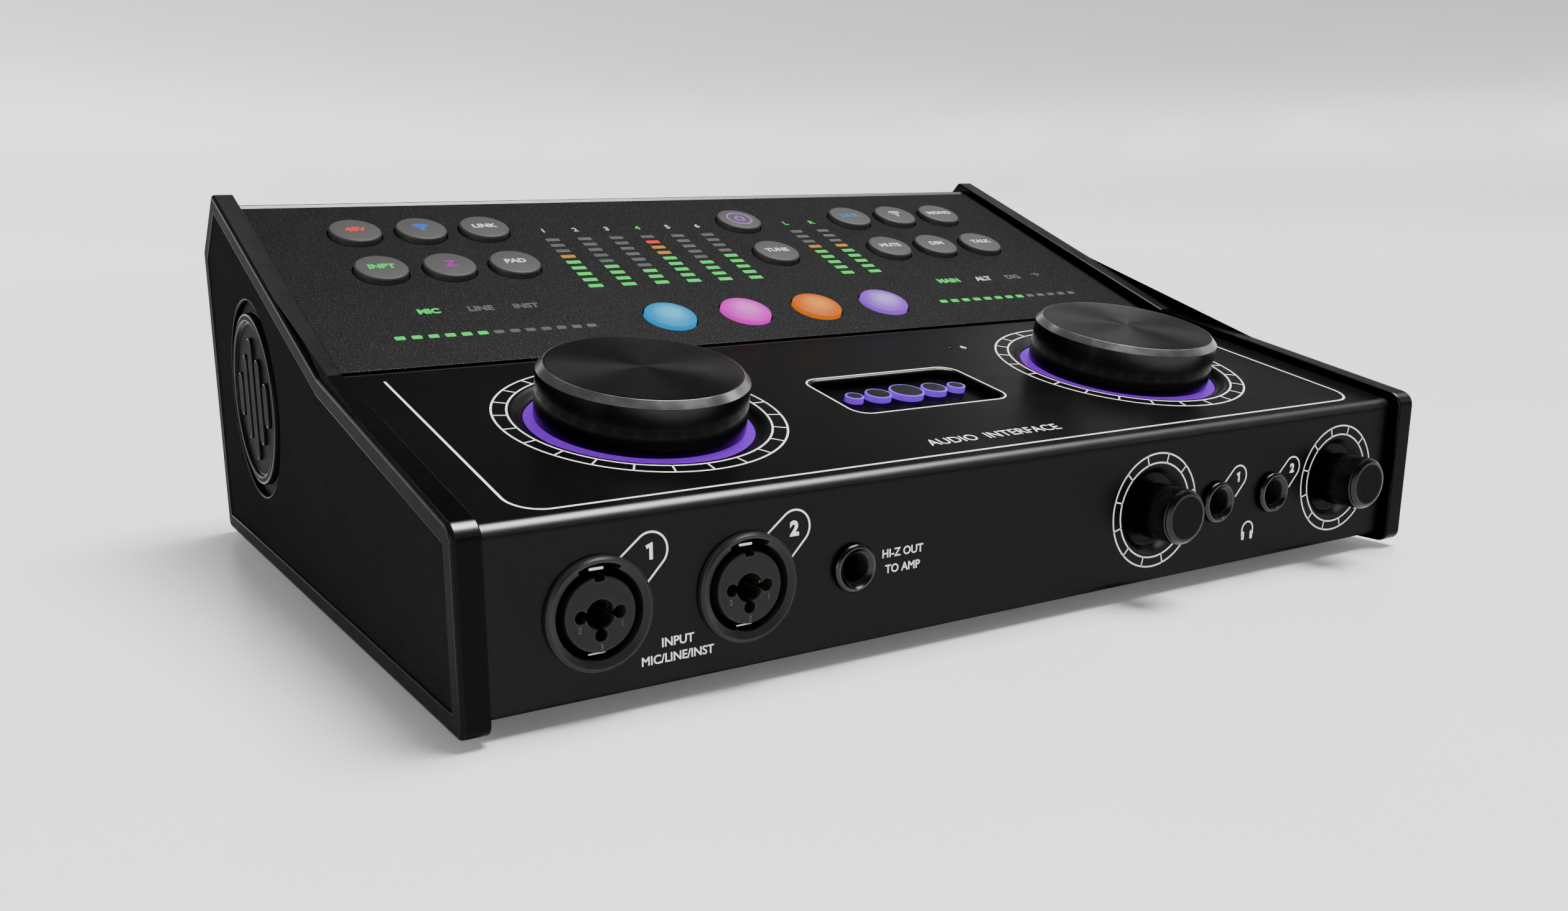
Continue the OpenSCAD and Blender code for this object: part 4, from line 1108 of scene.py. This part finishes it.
def make_light_rings():
    """Diffusing rings under the large knobs."""
    bm = bmesh.new()
    for s in (-1, 1):
        lathe(bm, [(19, -3.6), (30.9, -3.6), (30.9, -2.05), (RING_R, -2.05), (RING_R, -1.9),
            (RING_R - 0.15, -1.75), (19, -1.75), (19, -3.6)], steps=160, cx=s * KNOB_X, cy=KNOB_V)
    piece(loose_object("glow_rings", bm, deck.at()), [RING], ["light_rings"],
        angle=30)


# ---- knobs


SHAFT_HOLE_R = 3.05


def make_encoder_knob(s, name, node, body):
    """A large turned knob: spun top, bright cut edge and polished side."""
    r, h, c = 26.2, 12.5, 1.7
    profile = [(SHAFT_HOLE_R, 3.4), (6.5, 3.4), (6.5, 9.2), (r - 3.4, 9.2), (r - 3.4, -1.2),
        (r - 0.5, -1.2), (r - 0.12, -1.0), (r, -0.6), (r, h - c - 0.06), (r - 0.05, h - c),
        (r - c + 0.05, h - 0.05), (r - c - 0.1, h)]
    mats = [1] * 9 + [2, 2]
    rings = 24
    profile += [((r - c - 0.1) * (1 - k / rings), h) for k in range(1, rings + 1)]
    mats += [0] * rings
    bm = bmesh.new()
    lathe(bm, [(0, 10.2), (SHAFT_HOLE_R, 10.2)] + profile, [1, 1] + mats, steps=192)
    made = loose_object(name, bm, deck.at(s * KNOB_X, KNOB_V))
    piece(made, [KNOB_TOP, KNOB_SIDE, KNOB_EDGE], [node], body=body, angle=24,
        flat_weight=False)


def make_volume_knob(place, name, node, body):
    """A small knurled knob with a bright edge and a spun face."""
    r, reach = 7.3, 10.6
    teeth, steps = 84, 504
    side = [(5.7, 2.2), (5.7, -1.5), (r - 0.55, -1.5), (r - 0.25, -1.2), (r - 0.25, -0.5),
        (r, -0.3), (r, reach - 1.35), (r - 0.25, reach - 1.1), (r - 0.25, reach - 0.75),
        (r - 0.32, reach - 0.68), (r - 0.95, reach - 0.04), (r - 1.05, reach)]
    face = [((r - 1.05) * (1 - k / 10), reach) for k in range(1, 11)]
    mats = [1] * 10 + [2, 2] + [0] * 9

    def knurl(angle, k):
        """Teeth on the two rings at the knob's full radius."""
        return 0.11 * (abs((angle * teeth / TAU) % 1 * 2 - 1) - 0.5) if k in (8, 9) else 0.0

    bm = bmesh.new()
    bore = [(0, 9.0), (SHAFT_HOLE_R, 9.0), (SHAFT_HOLE_R, 2.2)]
    lathe(bm, bore + side + face, [1, 1, 1] + mats + [0], steps=steps, ripple=knurl)
    made = loose_object(name, bm, front.at(*place))
    piece(made, [KNOB_FACE, KNOB_SIDE, SOFT_EDGE], [node], body=body, angle=24,
        flat_weight=False)


# ---- sockets


def draw_jack(bm, x, z):
    """A quarter inch jack: chamfered nut, threaded throat, dark bore and a spring contact."""
    throat = [(4.35, 1.25), (3.75, 0.85)]
    for k in range(6):
        throat += [(3.42, 0.6 - k * 0.5), (3.62, 0.35 - k * 0.5)]
    lathe(bm, [(4.4, -3.0), (4.4, 0.02), (5.75, 0.02), (5.75, 1.05), (5.65, 1.25), (5.2, 1.72),
        (5.0, 1.8), (4.75, 1.76), (4.6, 1.6)] + throat + [(3.3, -2.6), (3.3, -3.0), (4.4, -3.0)],
        [0] * 10 + [1] * (len(throat) + 1), steps=96, cx=x, cy=z)
    lathe(bm, [(3.3, -2.9), (3.3, -25), (0, -25), (0, -26.5), (7.7, -26.5), (7.7, -2.9),
        (3.3, -2.9)], 1, 48, x, z)
    slab(bm, shifted(rounded_rect(1.6, 0.9, 0.2, 3), x, z - 2.6),
        [(0, -9), (0, -6), (0.2, -5.6)], 2)


def make_jacks():
    """Front and rear quarter inch jacks."""
    one = [(0, 0)]
    for name, node, matrix, spots in (
            ("headphone_socket_1", "headphone_jack_1", front.at(*HEADPHONES[0]), one),
            ("headphone_socket_2", "headphone_jack_2", front.at(*HEADPHONES[1]), one),
            ("amp_out_socket", "amp_out_jack", front.at(*AMP_OUT), one),
            ("line_sockets", "line_jacks", rear.at(), rear_middles("line_jacks"))):
        bm = bmesh.new()
        for x, z in spots:
            draw_jack(bm, x, z)
        piece(loose_object(name, bm, matrix), [NICKEL, DARK, GILT], [node],
            angle=30)


PINS = (0, 180, 270)
PIN_CIRCLE_R = 4.45
SHELL_BORE_R = 11.15
CORE_R, CORE_TOP = 8.2, 1.2


def make_combo(name, place, x, z, nodes):
    """A combo socket: shell with its key slot, core with three pin holes, latch and contacts."""
    outer = [(SHELL_BORE_R, -8), (SHELL_BORE_R, 0.02), (12.5, 0.02), (12.5, 0.9), (12.42, 1.1),
        (12.2, 1.25), (11.95, 1.6), (11.8, 1.72), (11.6, 1.75), (10.35, 1.05), (10.15, 0.9),
        (10.05, 0.6), (9.95, -0.5), (9.9, -23), (SHELL_BORE_R, -23), (SHELL_BORE_R, -8)]
    bm = bmesh.new()
    lathe(bm, outer, [0] * 13 + [1] * 2, steps=144)
    shell = loose_object(name, bm, place.at(x, z))

    def key_slot(bm):
        ends = [(SHELL_BORE_R, d) for d in range(-27, 28, 9)] + [(8.6, d) for d in (27, 9, -9, -27)]
        slab(bm, [polar(r, d)[::-1] for r, d in ends][::-1], [(0, -9), (0, 3)])

    cut(shell, [cutter(place.at(x, z), key_slot)])
    bm = bmesh.new()
    bm.from_mesh(shell.data)
    bpy.data.objects.remove(shell)
    lathe(bm, [(0, -25), (12.9, -25), (12.9, -23.05), (0, -23.05)], 1, 64)
    # Latch above the core and a spring plate below it
    slab(bm, shifted(rounded_rect(3.4, 0.75, 0.2, 3), 0.3, 9.35),
        [(0, -8), (0, -1.1), (0.1, -1.0)], 3)
    slab(bm, shifted(rounded_rect(4.2, 0.5, 0.2, 3), 0, -9.1),
        [(0, -8), (0, -1.4), (0.1, -1.3)], 3)
    core = bmesh.new()
    lathe(core, [(0, -21), (CORE_R, -21), (CORE_R, 0.85), (8.1, 1.05), (7.85, CORE_TOP),
        (0, CORE_TOP)], steps=128)
    body = loose_object("core", core, place.at(x, z))
    cutters = [hole_cutter(place.at(x, z, CORE_TOP), 3.3, 20, 0.2)]
    for a in PINS:
        spot = place.at(*polar(PIN_CIRCLE_R, a, x, z), CORE_TOP)
        cutters.append(hole_cutter(spot, 1.45, 18, 0.15))
    notch = [(-1.5, 9), (-1.1, 7.1), (1.1, 7.1), (1.5, 9)]
    cutters.append(cutter(place.at(x, z), lambda b: slab(b, notch, [(0, -9), (0, 3)])))
    cut(body, cutters)
    body.data.polygons.foreach_set("material_index", [2] * len(body.data.polygons))
    bm.from_mesh(body.data)
    bpy.data.objects.remove(body)
    for a in PINS:
        lathe(bm, [(0.75, -17), (1.12, -17), (1.12, -3.3), (1.0, -3.1), (0.75, -3.3), (0.75, -17)],
            4, 24, *polar(4.6, a))
    for a, digit in zip(PINS, ("1", "2", "3")):
        spot = polar(4.9, a, 0, -2.6) if a != 270 else (0, -7.0)
        lettering(bm, digit, *spot, 1.25, 5, z0=1.15, z1=1.23)
    made = loose_object(name, bm, place.at(x, z))
    piece(made, [SHELL, DARK, CORE, STEEL, GILT, CORE_MARK], nodes, angle=30)


def make_combos():
    """Front pair, each with the contacts that it holds, and the rear pair."""
    make_combo("combo_socket_1", front, *COMBOS[0], ["combo_shell_1", "combo_core_1",
        "combo_contacts"])
    make_combo("combo_socket_2", front, *COMBOS[1], ["combo_shell_2", "combo_core_2"])
    for n, (x, z) in enumerate(rear_middles("rear_combo_sockets", COMBO_SHELL_W)):
        make_combo(f"combo_socket_{n + 3}", rear, x, z, ["rear_combo_sockets"])


# ---- feet, and what stays as packed


def make_feet():
    """Four rubber feet with a soft tread."""
    low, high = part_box("feet")
    bm = bmesh.new()
    r, h = 8.0, (high.z - low.z) / MM
    for sx in (low.x / MM + r, high.x / MM - r):
        for sy in (low.y / MM + r, high.y / MM - r):
            lathe(bm, [(0, 0.35), (5.2, 0.35), (5.5, 0), (r - 0.9, 0), (r - 0.3, 0.2), (r, 0.8),
                (r - 0.25, h - 0.8), (r - 0.6, h), (0, h)], 0, 72, sx, sy)
    piece(loose_object("rubber_feet", bm, Matrix.Translation((0, 0, low.z))), [RUBBER],
        ["feet"], angle=30)


KEPT = {"base_pan": PAN, "screws": DARK_STEEL, "main_board": BOARD, "control_boards": BOARD,
    "key_switches": SWITCH, "light_guides": GUIDE, "left_encoder_shaft": STEEL,
    "left_encoder_body": COMPONENT, "right_encoder_shaft": STEEL, "right_encoder_body": COMPONENT,
    "headphone_shaft_1": STEEL, "headphone_shaft_2": STEEL, "headphone_pots": COMPONENT,
    "midi_sockets": CORE, "optical_sockets": CORE, "usb_socket": STEEL, "dc_inlet": CORE,
    "power_switch": CORE, "power_rocker": CORE}


def dress_kept_nodes():
    """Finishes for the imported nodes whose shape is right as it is."""
    for node, material in KEPT.items():
        mesh = NODES[node].data
        mesh.materials.clear()
        mesh.materials.append(material)


# ---- stage

CAMERA_POINT = (-0.2345, -0.3427, 0.1077)
CAMERA_RIGHT = (0.87138, -0.49033, -0.01654)
CAMERA_UP = (0.12838, 0.19535, 0.97229)
LENS, SENSOR = 31.06, 36.0
SHIFT = (0.0711, 0.0389)
FLOOR_R, BEND_UP_R, WALL_TOP = 2100, 900, (3060, 1250)  # backdrop, in millimetres
PAPER_GLOW = 0.10
SKY_STRENGTH = 0.14
KEY_POWER, KEY_ANGLE = 6.9, 36
KEY_FROM = (0.34, -0.02, 0.94)
BOX_TARGET = (0.0, 0.0, 0.05)
BOXES = [  # name, way from the case, distance, size, power
    ("top_back", (0.50, 0.70, 0.42), 1.3, (1.1, 0.4), 0.35),
    ("high_back", (0.0, 0.60, 0.80), 1.3, (0.2, 0.2), 0.4),
    ("back_strip", (0.74, 0.60, 0.30), 1.3, (0.1, 0.4), 0.2),
    ("lip_left", (0.20, -0.15, 0.97), 1.2, (0.4, 0.4), 5.0),
    ("left_strip", (-0.94, -0.20, 0.06), 1.1, (0.05, 0.5), 5.0),
    ("right_box", (0.85, -0.1, 0.5), 1.2, (0.3, 0.3), 0.5),
]


def aim(obj, point, target):
    """Points a light or camera from one place to another."""
    obj.location = point
    obj.rotation_mode = "QUATERNION"
    obj.rotation_quaternion = (Vector(target) - Vector(point)).to_track_quat("-Z", "Y")


def softbox(name, point, target, size, power):
    """A rectangular studio light."""
    data = bpy.data.lights.new(name, "AREA")
    data.shape = "RECTANGLE"
    data.size, data.size_y = size
    data.energy = power
    aim(linked(name, data), point, target)


def make_stage():
    """Pale floor that rises all round into a low wall, soft studio lights and the camera."""
    bm = bmesh.new()
    bend = arc(FLOOR_R, BEND_UP_R, BEND_UP_R, 270, 350, 20)[1:]
    lathe(bm, [(0, 0), (900, 0), (1500, 0), (FLOOR_R, 0), *bend, WALL_TOP], steps=96)
    top = [face for face in bm.faces if len(face.verts) > 4]
    bmesh.ops.delete(bm, geom=top, context="FACES_ONLY")
    backdrop = loose_object("backdrop", bm, Matrix.Translation((0, 0, cad_low.z - 0.0001)))
    settle(backdrop.data, 40)
    paper = finish("backdrop_paper", (0.82, 0.82, 0.82), 0.32, specular=0.5, mottle=0.01,
        mottle_scale=2, emission=(1.0, 1.0, 1.0), glow=PAPER_GLOW)
    backdrop.data.materials.append(paper)

    world = bpy.data.worlds.new("studio")
    world.use_nodes = True
    sky = world.node_tree.nodes["Background"]
    sky.inputs["Color"].default_value = (1, 1, 1, 1)
    sky.inputs["Strength"].default_value = SKY_STRENGTH
    bpy.context.scene.world = world

    key = bpy.data.lights.new("key", "SUN")
    key.energy = KEY_POWER
    key.angle = radians(KEY_ANGLE)
    aim(linked("key", key), KEY_FROM, (0, 0, 0))
    for name, way, far, size, power in BOXES:
        softbox(name, Vector(way).normalized() * far, BOX_TARGET, size, power)

    data = bpy.data.cameras.new("camera")
    data.lens, data.sensor_width = LENS, SENSOR
    data.shift_x, data.shift_y = SHIFT
    data.clip_start, data.clip_end = 0.01, 50
    camera = linked("camera", data)
    right, up = Vector(CAMERA_RIGHT).normalized(), Vector(CAMERA_UP).normalized()
    back = right.cross(up)
    turn = Matrix((right, up, back)).transposed().to_4x4()
    camera.matrix_world = Matrix.Translation(CAMERA_POINT) @ turn
    bpy.context.scene.camera = camera


# ---- build

make_cover()
make_rear()
for s, side in ((-1, "left"), (1, "right")):
    make_cheek(s, f"cheek_{side}", f"{side}_cheek")
make_badges()
make_control_panel()
make_grey_keys()
make_colour_keys()
make_meters()
make_deck_print()
make_front_print()
make_emblem()
make_light_rings()
for s, side in ((-1, "left"), (1, "right")):
    make_encoder_knob(s, f"encoder_cap_{side}", f"{side}_encoder_knob", f"{side}_encoder")
for n, spot in enumerate(VOLUMES, 1):
    make_volume_knob(spot, f"volume_cap_{n}", f"headphone_knob_{n}", f"headphone_volume_{n}")
make_jacks()
make_combos()
make_feet()
dress_kept_nodes()
make_stage()
